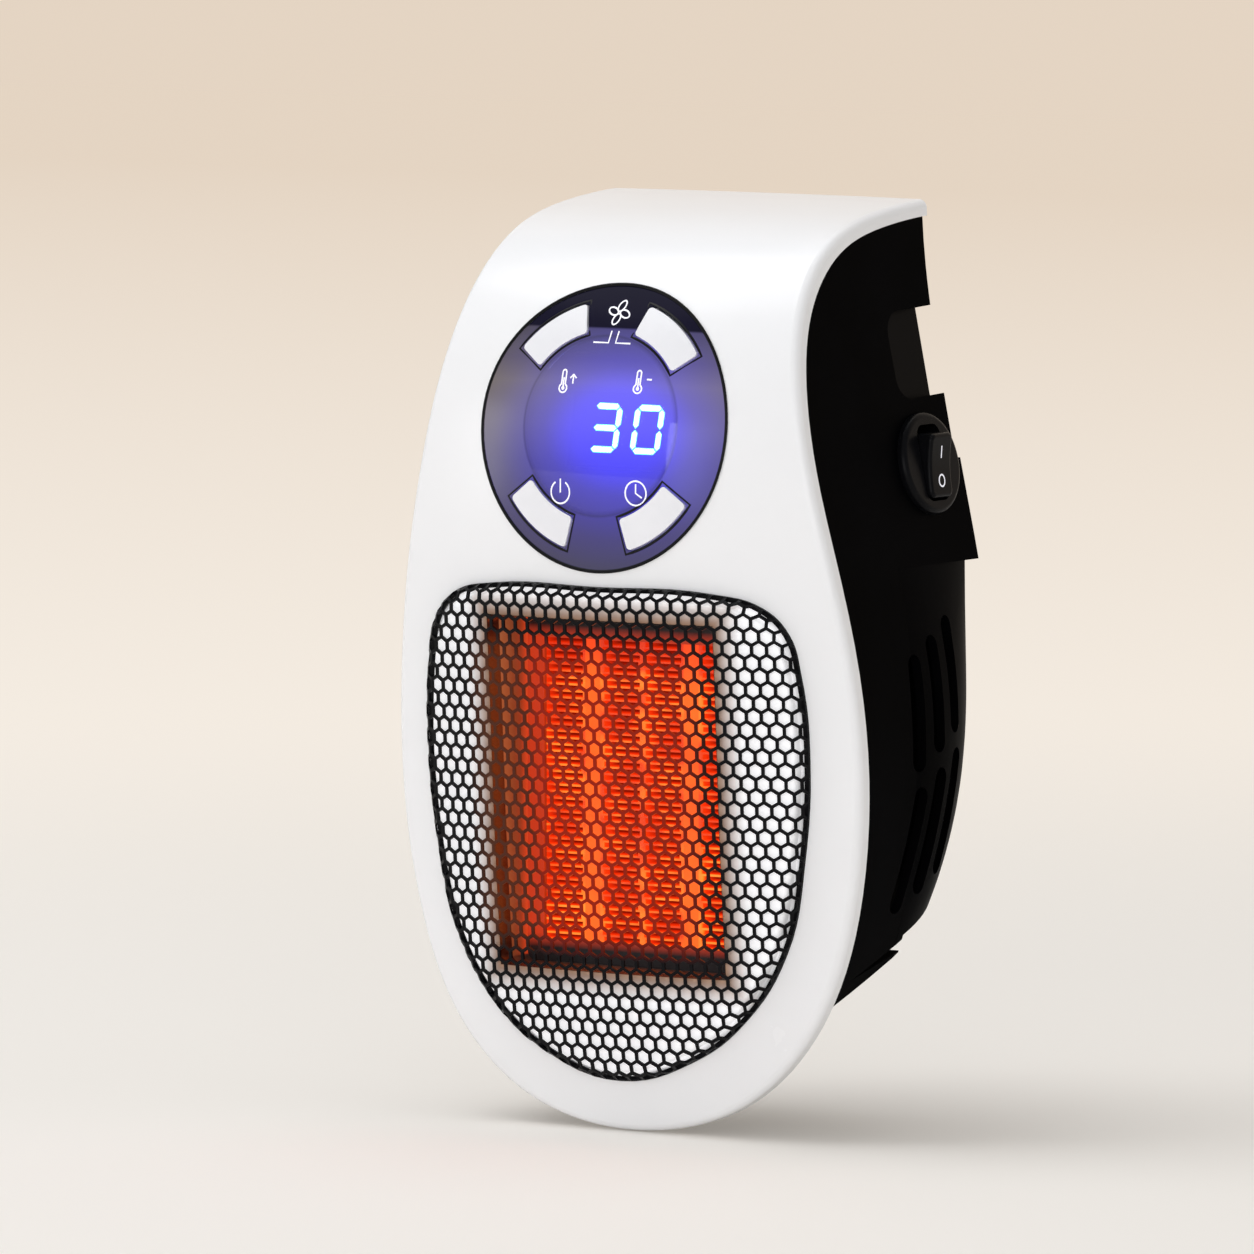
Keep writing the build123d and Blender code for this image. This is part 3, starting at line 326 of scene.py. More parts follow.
gloss_white = finish("gloss_white", (0.885, 0.885, 0.896), (0.893, 0.893, 0.904), 0.27,
                     grain=9.0, depth=0.003, coat=0.06, spread=0.01, shine=0.35)
satin_black = finish("satin_black", (0.0009, 0.0009, 0.0011), (0.0016, 0.0016, 0.0020), 0.40,
                     grain=0.35, depth=0.010, shine=0.006)
print("shell finishes", gloss_white.name, satin_black.name)

# %% [markdown]
# ## Plastics of the small parts
# The keys are the panel's white, a little duller. The blacks differ in gloss: the switch is
# smooth, the grille's web is thin and shiny, and the parts inside are plain and grainy. The
# heater's frame is the same plain black, but gets painted red light at the core, so it has its
# own.

# %% Plastics
PLAIN_TONES = ((0.018, 0.018, 0.019), (0.028, 0.028, 0.030))
deep_black = finish("deep_black", (0.0025, 0.0025, 0.003), (0.004, 0.004, 0.005), 0.28,
                    grain=0.5, depth=0.004, shine=0.06)
grille_black = finish("grille_black", (0.003, 0.003, 0.004), (0.005, 0.005, 0.006), 0.30,
                      grain=0.4, depth=0.004, shine=0.08)
inner_black = finish("inner_black", *PLAIN_TONES, 0.55, grain=0.4, depth=0.015)
frame_black_painted_light = finish("frame_black_painted_light", *PLAIN_TONES, 0.55, grain=0.4, depth=0.015)
# The duct is black plastic; its lighter brown base and the glow added later are painted light from
# the core.
duct_painted_light = finish("duct_painted_light", (0.10, 0.075, 0.055), (0.14, 0.10, 0.075), 0.5,
                   grain=0.4, depth=0.01)
fan_grey = finish("fan_grey", (0.10, 0.10, 0.11), (0.14, 0.14, 0.15), 0.45,
                  grain=0.4, depth=0.01)
key_white = finish("key_white", (0.82, 0.82, 0.85), (0.86, 0.86, 0.89), 0.35,
                   grain=0.3, depth=0.004)
print("plastics", deep_black.name, grille_black.name, inner_black.name, key_white.name)

# %% [markdown]
# ## Boards and metals
# Circuit boards are lacquered fibre sheet, so they are smooth and dark green or nearly
# black. Bright metal has no colour of its own under the gloss: its tone is in the
# reflection, which is what a metallic value of one says.

# %% Boards and metals
board_dark = finish("board_dark", (0.006, 0.010, 0.009), (0.010, 0.018, 0.014), 0.45,
                    grain=0.6, depth=0.01)
board_green = finish("board_green", (0.010, 0.075, 0.035), (0.015, 0.11, 0.05), 0.4,
                     grain=0.6, depth=0.01)
part_blue = finish("part_blue", (0.03, 0.06, 0.16), (0.05, 0.09, 0.22), 0.4,
                   grain=0.5, depth=0.006)
steel = finish("steel", (0.42, 0.42, 0.43), (0.55, 0.55, 0.56), 0.32,
               grain=0.25, depth=0.006, metallic=1.0)
brass = finish("brass", (0.62, 0.47, 0.20), (0.74, 0.58, 0.28), 0.28,
               grain=0.25, depth=0.004, metallic=1.0)
pin_metal = finish("pin_metal", (0.62, 0.62, 0.62), (0.72, 0.72, 0.71), 0.18,
                   grain=0.3, depth=0.003, metallic=1.0)
print("boards and metals", board_green.name, steel.name, brass.name)

# %% [markdown]
# ## Which piece wears which finish
# A moulding leaves its tool in one colour, and a screw is one metal, so one finish covers a
# whole piece. A table of finishes and pieces shows that at a glance. The glowing core and
# the lens need finishes of their own, which follow later.

# %% Every piece gets its finish
def dress(node, material):
    nodes[node].data.materials.clear()
    nodes[node].data.materials.append(material)


for material, names in (
    (gloss_white, ("front_panel",)),
    (satin_black, ("rear_housing", "plug_turntable")),
    (deep_black, ("key_switches", "display_module", "switch_bezel", "switch_rocker")),
    (key_white, ("key_up_left", "key_up_right", "key_down_left", "key_down_right")),
    (inner_black, ("fan_shroud", "thermal_cutoff", "plug_retainer")),
    (frame_black_painted_light, ("heater_frame",)),
    (duct_painted_light, ("duct",)),
    (fan_grey, ("fan_impeller",)),
    (board_dark, ("control_board",)),
    (board_green, ("power_board",)),
    (part_blue, ("power_parts",)),
    (steel, ("fan_motor", "motor_shaft", "case_screws", "board_screws", "frame_screws",
             "retainer_screws")),
    (brass, ("switch_terminals",)),
    (pin_metal, ("plug_pins",)),
):
    for name in names:
        dress(name, material)
print("finishes", len(bpy.data.materials))

# %% [markdown]
# ## Where a point lies from the outlet window
# Behind the mesh the light follows the square window in front of the core, and here it is
# painted: the white pad round it gets painted light and painted shade, and the walls inside it
# a painted glow. So these finishes need each point's distance beyond the window's edges, below
# zero inside. Object coordinates give it without an image, and it stays right from every side.

# %% Distances from the window's edges
WINDOW_MIDDLE = 72.4
WINDOW_HALF_WIDE = 28.5
WINDOW_HALF_TALL = 37.75
NO_LIGHT = (0.0, 0.0, 0.0)


def mixed(tree, share, first, second):
    node = tree.nodes.new("ShaderNodeMix")
    node.data_type = "RGBA"
    tree.links.new(share, node.inputs["Factor"])
    for socket, colour in (("A", first), ("B", second)):
        if isinstance(colour, tuple):
            node.inputs[socket].default_value = (*colour, 1)
        else:
            tree.links.new(colour, node.inputs[socket])
    return node.outputs["Result"]


def level(rise):
    return (rise - PLUG_HEIGHT) * MM


def window_places(tree):
    split = split_up(tree, object_place(tree))
    aside = joined(tree, "ABSOLUTE", split["X"])
    above = joined(tree, "ABSOLUTE", joined(tree, "SUBTRACT", split["Z"], level(WINDOW_MIDDLE)))
    return {"across": split["X"], "depth": split["Y"], "rise": split["Z"], "aside": aside,
            "wide": joined(tree, "SUBTRACT", aside, WINDOW_HALF_WIDE * MM),
            "tall": joined(tree, "SUBTRACT", above, WINDOW_HALF_TALL * MM)}


def faded(tree, value, ends):
    return mapped(tree, value, ends[0] * MM, ends[1] * MM, 0.0, 1.0)


# Emission set here is painted light on a part that is no lamp.
def paint_light_where(tree, share, colour):
    shader = tree.nodes["Principled BSDF"]
    tree.links.new(mixed(tree, share, NO_LIGHT, colour), shader.inputs["Emission Color"])
    shader.inputs["Emission Strength"].default_value = 1.0


print("window", 2 * WINDOW_HALF_WIDE, "mm wide and", 2 * WINDOW_HALF_TALL, "mm tall")

# %% [markdown]
# ## The pad behind the mesh
# The white pad round the window catches light through the mesh and throws it back between
# pad and mesh, so it stays bright behind the black web. A few lamps don't carry that, so the
# pad gets a soft painted light inside the outlet's outline. Near the window painted shade,
# tinted warm by the hot core, turns it brown, and nearly black on the window's own walls.

# %% Painted light and painted shade on the pad
OUTLET_HALF = 48.1
OUTLET_BOTTOM = 11.0
OUTLET_TOP = 117.3
OUTLET_SHARES = [(0.0, 0.0), (0.374, 0.046), (0.655, 0.137), (0.863, 0.278), (0.961, 0.461),
                 (1.0, 0.687), (0.973, 0.838), (0.925, 0.920), (0.811, 0.971), (0.580, 0.996),
                 (0.0, 1.0)]
PAD_PAINTED_LIGHT = (0.44, 0.435, 0.445)
PAD_EDGE = (0.8, 2.5)
PAD_WINDOW = (1.0, 6.0)
WINDOW_PAINTED_SHADE = (0.05, 0.022, 0.012)
PAD_PAINTED_WARM_SHADE = (0.55, 0.33, 0.22)
WINDOW_EDGE = (0.05, 0.15)
WARM_SHADE_FADE = (0.2, 6.0)


def paint_pad_light_and_shade(material):
    tree = material.node_tree
    base = tree.nodes["Principled BSDF"].inputs["Base Color"]
    place = window_places(tree)
    reach = joined(tree, "MAXIMUM", place["wide"], place["tall"])
    share = mapped(tree, place["rise"], level(OUTLET_BOTTOM), level(OUTLET_TOP), 0.0, 1.0)
    half = ramp_of(tree, share, [(rise, (wide,) * 3) for wide, rise in OUTLET_SHARES])
    half = joined(tree, "MULTIPLY", half, OUTLET_HALF * MM)
    inside = joined(tree, "SUBTRACT", half, place["aside"])
    lit = joined(tree, "MULTIPLY", faded(tree, inside, PAD_EDGE), faded(tree, reach, PAD_WINDOW))
    # painted light on the pad, standing in for the light bounced between pad and mesh
    paint_light_where(tree, lit, PAD_PAINTED_LIGHT)
    plain = base.links[0].from_socket
    # painted shade near the window: nearly black on its walls, warm brown fading out over the pad
    brown = mixed(tree, faded(tree, reach, WINDOW_EDGE), WINDOW_PAINTED_SHADE, PAD_PAINTED_WARM_SHADE)
    tree.links.new(mixed(tree, faded(tree, reach, WARM_SHADE_FADE), brown, plain), base)


paint_pad_light_and_shade(gloss_white)
print("pad lit and tinted within", OUTLET_HALF, "mm of the middle")

# %% [markdown]
# ## The walls, the frame and the mesh before the core
# The core's light on the duct's walls is painted: brown at the window and red at the core. The
# frame's edge beside the core gets a painted dull red light, and the web of the mesh a painted
# red light from behind, least near the window's sides, where it fades as painted shade. All
# three are painted light by place, because light that bounces between such thin dark parts would
# take a render very long to find.

# %% Painted light on the walls, the frame and the mesh
WALL_PAINTED_LIGHT = [(0.0, (0.27, 0.10, 0.042)), (0.30, (0.20, 0.055, 0.016)),
             (0.62, (0.13, 0.022, 0.004)), (0.80, (0.22, 0.020, 0.002)),
             (1.0, (0.60, 0.040, 0.003))]
WALL_SIDES = (-0.2, -0.1)
WALL_ENDS = (-0.1, -2.0)
FRAME_PAINTED_LIGHT = (0.55, 0.030, 0.002)
FRAME_DEPTH = 2
FRAME_ENDS = (-3.0, -6.0)
MESH_PAINTED_LIGHT = [(0.0, NO_LIGHT), (0.08, (0.07, 0.020, 0.007)), (0.26, (0.08, 0.012, 0.003)),
             (0.31, (0.25, 0.009, 0.0)), (0.40, (0.30, 0.012, 0.0)), (0.84, (0.25, 0.010, 0.0)),
             (0.93, (0.03, 0.004, 0.001)), (1.0, NO_LIGHT)]
MESH_SIDES = (-34, 30)
MESH_ENDS = (-3.0, -10.0)


def paint_walls_light(material, front, deep):
    tree = material.node_tree
    place = window_places(tree)
    sides = joined(tree, "MULTIPLY", faded(tree, place["wide"], WALL_SIDES),
                   faded(tree, place["tall"], WALL_ENDS))
    share = mapped(tree, place["depth"], front, deep, 0.0, 1.0)
    paint_light_where(tree, sides, ramp_of(tree, share, WALL_PAINTED_LIGHT))


def paint_frame_light(material, deep):
    tree = material.node_tree
    place = window_places(tree)
    ahead = mapped(tree, place["depth"], deep, deep + FRAME_DEPTH * MM, 1.0, 0.0)
    middle = faded(tree, place["tall"], FRAME_ENDS)
    paint_light_where(tree, joined(tree, "MULTIPLY", ahead, middle), FRAME_PAINTED_LIGHT)


def paint_mesh_light(material):
    tree = material.node_tree
    place = window_places(tree)
    warm = ramp_of(tree, faded(tree, place["across"], MESH_SIDES), MESH_PAINTED_LIGHT)
    paint_light_where(tree, faded(tree, place["tall"], MESH_ENDS), warm)


duct_low, duct_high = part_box("duct")
paint_walls_light(duct_painted_light, duct_low[1], duct_high[1])
paint_frame_light(frame_black_painted_light, duct_high[1])
paint_mesh_light(grille_black)
print("walls lit over", round((duct_high[1] - duct_low[1]) / MM, 1), "mm of depth")

# %% [markdown]
# ## The glowing core
# The fins between the ceramic bars glow orange at their front and dull red deeper in, where the
# turned-down glow is painted shade between the fins; it is a little uneven, and less close under
# the top. The glow belongs to the surface, so it is an emission whose colour follows the place on
# the piece and a soft noise. One weak lamp in front of the core adds the little light that it
# throws forward.

# %% Glow of the fins and bars
HEAT_SCALE = 110
HEAT_DETAIL = 3
HEAT_NOISE = (0.3, 0.7)
HEAT_LEAST = 0.70
CORE_ROUGHNESS = 0.45
CORE_TOP = 107
CORE_FULL_HEAT = 95
CORE_TOP_HEAT = 0.45
EMBERS = [(0.0, (0.16, 0.004, 0.0004)), (0.55, (0.70, 0.022, 0.001)),
          (0.80, (0.80, 0.045, 0.002)), (0.90, (1.2, 0.20, 0.012)), (1.0, (1.4, 0.32, 0.03))]
BRIGHT_EMBERS = [(0.0, (0.6, 0.016, 0.001)), (0.55, (1.0, 0.065, 0.003)),
                 (1.0, (1.25, 0.16, 0.008))]
EMBER_LIGHT = (1.0, 0.24, 0.05)
CORE_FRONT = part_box("heater_fins")[0][1]


def hot(name, base, stops, deep):
    material, tree, shader = new_material(name)
    place = object_place(tree)
    split = split_up(tree, place)
    # the glow turned down deeper in is painted shade between the fins
    depth = mapped(tree, split["Y"], CORE_FRONT, CORE_FRONT + deep * MM, 1.0, 0.0)
    uneven = mapped(tree, noise_of(tree, place, HEAT_SCALE, HEAT_DETAIL), *HEAT_NOISE,
                    HEAT_LEAST, 1.0)
    under_top = mapped(tree, split["Z"], level(CORE_TOP), level(CORE_FULL_HEAT),
                       CORE_TOP_HEAT, 1.0)
    warmth = joined(tree, "MULTIPLY", depth, joined(tree, "MULTIPLY", uneven, under_top))
    tree.links.new(ramp_of(tree, warmth, stops), shader.inputs["Emission Color"])
    shader.inputs["Emission Strength"].default_value = 1.0
    shader.inputs["Base Color"].default_value = (*base, 1)
    shader.inputs["Roughness"].default_value = CORE_ROUGHNESS
    return material


dress("heater_fins", hot("hot_fins", (0.22, 0.04, 0.015), EMBERS, 6))
dress("ceramic_bars", hot("hot_bars", (0.20, 0.03, 0.01), BRIGHT_EMBERS, 14))
dress("heater_plates", hot("hot_plates", (0.3, 0.06, 0.02), EMBERS, 5))
core_lamp = soft_lamp("core_glow", spot(0, 71, 14.5), (0.048, 0.066), 0.012, EMBER_LIGHT)
core_lamp.rotation_euler = (math.radians(-90), 0, 0)
core_lamp.visible_camera = False
print("core front at", round(CORE_FRONT, 4))

# %% [markdown]
# ## The honeycomb grille
# The real grille is a thin moulded cushion with hundreds of six-sided holes. A picture of
# holes would look flat from the side, so the web is real: one cell is a six-sided disc whose
# middle is inset and removed, and arrays repeat it. What lies beyond the outlet is removed,
# and the flat sheet is then laid over the crowned outlet, where it rolls down to the panel
# at its edge. The construction's own grille has the same cushion shape. For this the crown
# has to be known: across, the panel is part of a circle, and up its height it follows a
# smooth line through a few measured depths.

# %% The panel's crowned surface
CROWN_RADIUS = 190.0
FRONT_LINE = [(-16, 19.5), (0, 13.5), (10, 10.4), (30, 7.2), (60, 4.4), (100, 1.9), (120, 0.6),
              (135, 0.0), (150, 0.6)]


def smooth_value(points, key):
    for index in range(1, len(points)):
        if key <= points[index][0] or index == len(points) - 1:
            before = points[max(index - 2, 0)]
            start, end = points[index - 1], points[index]
            after = points[min(index + 1, len(points) - 1)]
            step = end[0] - start[0]
            share = (key - start[0]) / step
            first = (end[1] - before[1]) / (end[0] - before[0]) * step
            last = (after[1] - start[1]) / (after[0] - start[0]) * step
            return ((2 * share**3 - 3 * share**2 + 1) * start[1]
                    + (share**3 - 2 * share**2 + share) * first
                    + (3 * share**2 - 2 * share**3) * end[1] + (share**3 - share**2) * last)


def crown_depth(x, rise):
    reach = CROWN_RADIUS - smooth_value(FRONT_LINE, rise)
    return CROWN_RADIUS - math.sqrt(max(reach * reach - x * x, 0))


print("middle depth", round(crown_depth(0, 64), 2))

# %% [markdown]
# ## The outlet's outline
# The outlet is a rounded shape that is widest above its middle. Blender's own Bezier curve
# runs smoothly through a few measured points, and its mesh gives the line that the grille's
# edge follows. For any point of the sheet the nearest place on that line is then looked up.

# %% Outline of the outlet
OUTLINE_STEPS = 6


def outlet_outline():
    nothing_selected()
    curve = bpy.data.curves.new("outlet_line", "CURVE")
    curve.dimensions = "3D"
    spline = curve.splines.new("BEZIER")
    right = [(wide * OUTLET_HALF, OUTLET_BOTTOM + rise * (OUTLET_TOP - OUTLET_BOTTOM))
             for wide, rise in OUTLET_SHARES]
    places = right + [(-x, z) for x, z in reversed(right[1:-1])]
    spline.bezier_points.add(len(places) - 1)
    for point, (x, z) in zip(spline.bezier_points, places):
        point.co = (x, 0, z)
        point.handle_left_type = point.handle_right_type = "AUTO"
    spline.use_cyclic_u = True
    curve.resolution_u = OUTLINE_STEPS
    line = bpy.data.objects.new("outlet_line", curve)
    bpy.context.collection.objects.link(line)
    mesh = bpy.data.meshes.new_from_object(line)
    outline = [(v.co.x, v.co.z) for v in mesh.vertices]
    bpy.data.objects.remove(line)
    bpy.data.meshes.remove(mesh)
    return outline


OUTLINE = outlet_outline()


def nearest_edge(x, rise):
    best, place, inside = math.inf, None, False
    for (ax, az), (bx, bz) in zip(OUTLINE, OUTLINE[1:] + OUTLINE[:1]):
        dx, dz = bx - ax, bz - az
        share = ((x - ax) * dx + (rise - az) * dz) / (dx * dx + dz * dz)
        share = max(0.0, min(1.0, share))
        edge_x, edge_z = ax + share * dx, az + share * dz
        gap = (x - edge_x) ** 2 + (rise - edge_z) ** 2
        if gap < best:
            best, place = gap, (edge_x, edge_z)
        if (az > rise) != (bz > rise) and x < ax + (rise - az) / (bz - az) * (bx - ax):
            inside = not inside
    return math.sqrt(best) if inside else -math.sqrt(best), place


print("outline points", len(OUTLINE))

# %% [markdown]
# ## The cells
# Neighbours share their walls, so one cell has only half a wall round it. The next row
# stands half a cell aside, so two cells, one from each row, are what the arrays repeat.

# %% One cell, repeated in two directions
CELL = 3.3
WEB = 0.70
ROW = CELL * math.sqrt(3) / 2
COLUMNS = 32
ROW_PAIRS = 21
MERGE_WITHIN = 0.03


def only(piece):
    nothing_selected()
    piece.select_set(True)
    bpy.context.view_layer.objects.active = piece


def repeat(piece, count, step):
    array = piece.modifiers.new("repeat", "ARRAY")
    array.count = count
    array.use_relative_offset = False
    array.use_constant_offset = True
    array.constant_offset_displace = step
    array.use_merge_vertices = True
    array.merge_threshold = MERGE_WITHIN * MM
    only(piece)
    bpy.ops.object.modifier_apply(modifier=array.name)


nothing_selected()
bpy.ops.mesh.primitive_circle_add(vertices=6, radius=CELL / math.sqrt(3) * MM,
                                  fill_type="NGON", location=(0, 0, 0),
                                  rotation=(math.radians(90), 0, 0))
grille = bpy.context.object
grille.name = "honeycomb_grille"
bpy.ops.object.transform_apply(location=True, rotation=True, scale=True)
bpy.ops.object.mode_set(mode="EDIT")
bpy.ops.mesh.select_mode(type="FACE")
bpy.ops.mesh.select_all(action="SELECT")
bpy.ops.mesh.inset(thickness=WEB / 2 * MM)
bpy.ops.mesh.delete(type="FACE")
bpy.ops.mesh.select_mode(type="VERT")
bpy.ops.mesh.select_all(action="SELECT")
bpy.ops.mesh.duplicate_move(TRANSFORM_OT_translate={"value": (CELL / 2 * MM, 0, ROW * MM)})
bpy.ops.object.mode_set(mode="OBJECT")
repeat(grille, COLUMNS, (CELL * MM, 0, 0))
repeat(grille, ROW_PAIRS, (0, 0, 2 * ROW * MM))
corner_x = -(COLUMNS - 1) / 2 * CELL
corner_z = (OUTLET_TOP + OUTLET_BOTTOM) / 2 - (ROW_PAIRS * 2 - 1) / 2 * ROW
grille.data.transform(Matrix.Translation(spot(corner_x, corner_z, 0)))
print("web faces", len(grille.data.polygons))

# %% [markdown]
# ## Cutting the sheet to the outlet
# The cushion's edge is a quarter roll, which takes up more sheet than it covers. So the
# flat sheet is cut that much wider than the outline. The middle of each face of the web
# decides whether it stays, so the web ends in whole faces.

# %% Faces beyond the edge are removed
PROUD = 3.5
ROLL = 3.0
FOOT_RISE = PROUD - ROLL
SIDE_REACH = FOOT_RISE + ROLL * math.pi / 2 - ROLL
EDGE_MARGIN = 0.3


def flat_place(point):
    return point.x / MM, point.z / MM + PLUG_HEIGHT


only(grille)
bpy.ops.object.mode_set(mode="EDIT")
bpy.ops.mesh.select_all(action="SELECT")
bpy.ops.mesh.remove_doubles(threshold=MERGE_WITHIN * MM)
bpy.ops.mesh.select_all(action="DESELECT")
bpy.ops.object.mode_set(mode="OBJECT")
for polygon in grille.data.polygons:
    polygon.select = nearest_edge(*flat_place(polygon.center))[0] < EDGE_MARGIN - SIDE_REACH
bpy.ops.object.mode_set(mode="EDIT")
bpy.ops.mesh.select_mode(type="FACE")
bpy.ops.mesh.delete(type="FACE")
bpy.ops.mesh.select_mode(type="VERT")
bpy.ops.object.mode_set(mode="OBJECT")
print("web faces within the outline", len(grille.data.polygons))

# %% [markdown]
# ## Laying the sheet over the crown
# Each point keeps its place in the middle of the outlet and stands a little proud of the
# panel. Near the edge it follows the roll and then the short foot down to the panel. The
# web gets its wall from a Solidify modifier once the sheet has its shape, so the wall is
# even all over.

# %% The sheet is laid over the crown and gets its wall
WEB_WALL = 0.45


def laid_over(x, rise):
    near, (edge_x, edge_z) = nearest_edge(x, rise)
    run = near + SIDE_REACH
    if run < FOOT_RISE:
        inset, proud = 0.0, max(run, 0.0)
    elif run < FOOT_RISE + ROLL * math.pi / 2:
        turn = (run - FOOT_RISE) / ROLL
        inset, proud = ROLL * (1 - math.cos(turn)), FOOT_RISE + ROLL * math.sin(turn)
    else:
        inset, proud = near, PROUD
    if near != 0 and inset != near:
        x = edge_x + (x - edge_x) / near * inset
        rise = edge_z + (rise - edge_z) / near * inset
    return spot(x, rise, crown_depth(x, rise) - proud)


def facing_out(piece):
    only(piece)
    bpy.ops.object.mode_set(mode="EDIT")
    bpy.ops.mesh.select_all(action="SELECT")
    bpy.ops.mesh.normals_make_consistent(inside=False)
    bpy.ops.object.mode_set(mode="OBJECT")


def thicken(piece, wall):
    thickness = piece.modifiers.new("thickness", "SOLIDIFY")
    thickness.thickness = wall * MM
    thickness.offset = -1
    bpy.ops.object.modifier_apply(modifier=thickness.name)


for vertex in grille.data.vertices:
    vertex.co = laid_over(*flat_place(vertex.co))
facing_out(grille)
if sum(polygon.normal.y for polygon in grille.data.polygons) > 0:
    grille.data.flip_normals()
thicken(grille, WEB_WALL)
print("grille triangles", sum(len(p.vertices) - 2 for p in grille.data.polygons))

# %% [markdown]
# ## The grille's rim
# A low solid curb runs round the mesh and hides its cut edge. It is one line of points on
# the outline, drawn out forwards and given a wall, which follows the crowned panel exactly.

# %% The rim, a low curb round the mesh
RIM_RISE = 0.7
RIM_SUNK = 0.2
RIM_WALL = 1.1
RIM_CREASE = math.radians(40)
nothing_selected()
bpy.ops.mesh.primitive_circle_add(vertices=len(OUTLINE), radius=OUTLET_HALF * MM)
rim = bpy.context.object
rim.name = "grille_rim"
for vertex, (x, rise) in zip(rim.data.vertices, OUTLINE):
    vertex.co = spot(x, rise, crown_depth(x, rise) + RIM_SUNK)
only(rim)
bpy.ops.object.mode_set(mode="EDIT")
bpy.ops.mesh.select_mode(type="VERT")
bpy.ops.mesh.select_all(action="SELECT")
bpy.ops.mesh.extrude_region_move(
    TRANSFORM_OT_translate={"value": (0, -(RIM_RISE + RIM_SUNK) * MM, 0)})
bpy.ops.object.mode_set(mode="OBJECT")
facing_out(rim)
thicken(rim, RIM_WALL)
bpy.ops.object.shade_smooth_by_angle(angle=RIM_CREASE)
for piece in (grille, rim):
    piece.data.materials.append(grille_black)
    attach(piece, "heater")
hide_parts("grille")
print("rim points", len(rim.data.vertices))

# %% [markdown]
# ## The control lens
# The lens is smoked plastic: dark violet, glossy and just clear enough to show the lit
# number on the display behind it. The lamp inside makes the plastic itself glow blue round
# the number. Glass with a light behind it would need many bounces to glow like that, so the
# material has a faint painted glow of its own, blue by the distance from the number. A violet
# sheen by the height on the lens is a painted reflection of the studio light.

# %% Places on the lens
GLOW_CENTRE = (5.0, -1.0)
GLOW_WIDENING = 0.7
GLOW_FLATTENING = 1.35
GLOW_REACH = 34 * MM
GLOW_BLUES = [(0.0, 1.0), (0.24, 0.98), (0.30, 0.93), (0.36, 0.78), (0.42, 0.61), (0.47, 0.49),
              (0.54, 0.41), (0.62, 0.32), (0.79, 0.18), (1.0, 0.09)]
LENS_SPAN = 60 * MM
LENS_PAINTED_REFLECTION = [(0.0, (0.040, 0.036)), (0.10, (0.044, 0.036)), (0.20, (0.050, 0.040)),
                (0.30, (0.064, 0.053)), (0.37, (0.082, 0.068)), (0.50, (0.130, 0.110)),
                (0.65, (0.165, 0.140)), (0.733, (0.102, 0.084)), (0.82, (0.080, 0.070)),
                (1.0, (0.060, 0.055))]


def along(tree, from_centre, direction):
    node = tree.nodes.new("ShaderNodeVectorMath")
    node.operation = "DOT_PRODUCT"
    node.inputs[1].default_value = direction
    tree.links.new(from_centre, node.inputs[0])
    return node.outputs["Value"]


def squared(tree, side):
    return joined(tree, "MULTIPLY", side, side)


def lens_glow(tree, across, high):
    wide = joined(tree, "SUBTRACT", across, GLOW_CENTRE[0] * MM)
    tall = joined(tree, "SUBTRACT", high, GLOW_CENTRE[1] * MM)
    squares = joined(tree, "ADD", joined(tree, "MULTIPLY", squared(tree, wide), GLOW_WIDENING),
                     joined(tree, "MULTIPLY", squared(tree, tall), GLOW_FLATTENING))
    away = joined(tree, "MULTIPLY", joined(tree, "SQRT", squares), 1 / GLOW_REACH)
    blue = ramp_of(tree, away, [(place, (0.0, 0.0, strength)) for place, strength in GLOW_BLUES])
    share = mapped(tree, high, -LENS_SPAN / 2, LENS_SPAN / 2, 0.0, 1.0)
    # these tones by height are a painted reflection of the studio light on the lens
    violet = ramp_of(tree, share, [(place, (*tone, 0.0)) for place, tone in LENS_PAINTED_REFLECTION])
    return joined(tree, "ADD", blue, violet, whole=True)


print("blue glow reaches", round(GLOW_REACH / MM), "mm, violet spans", round(LENS_SPAN / MM), "mm")

# %% [markdown]
# ## Clear middle and dark band
# Only the round middle, within the keys, is clear. There two walls of the lens glow one
# behind the other, so each gives less, and the two together match the rest. Outside it the
# plastic is solid and nearly black under its glow, and a band at the top hardly glows.

# %% Smoked lens with a blue glow
CLEAR_REACH = 19.7 * MM
CLEAR_EDGE = 0.5 * MM
TINT_EDGE = 1.5 * MM
BAND_FOOT = 20.6 * MM
BAND_EDGE = 0.5 * MM
SHINE_FADE = 4 * MM
BAND_GLOW = (0.004, 0.004, 0.011)
FULL_GLOW = (1.0, 1.0, 1.0)
WALL_SHARE = (0.645, 0.654, 0.585)
SMOKE = (0.006, 0.005, 0.012)
CLEAR_TINT = (0.30, 0.28, 0.5)
LENS_IOR = 1.45
SOLID_ROUGHNESS = 0.20
CLEAR_ROUGHNESS = 0.03
LENS_SHINE = 0.5
BAND_SHINE = 0.03


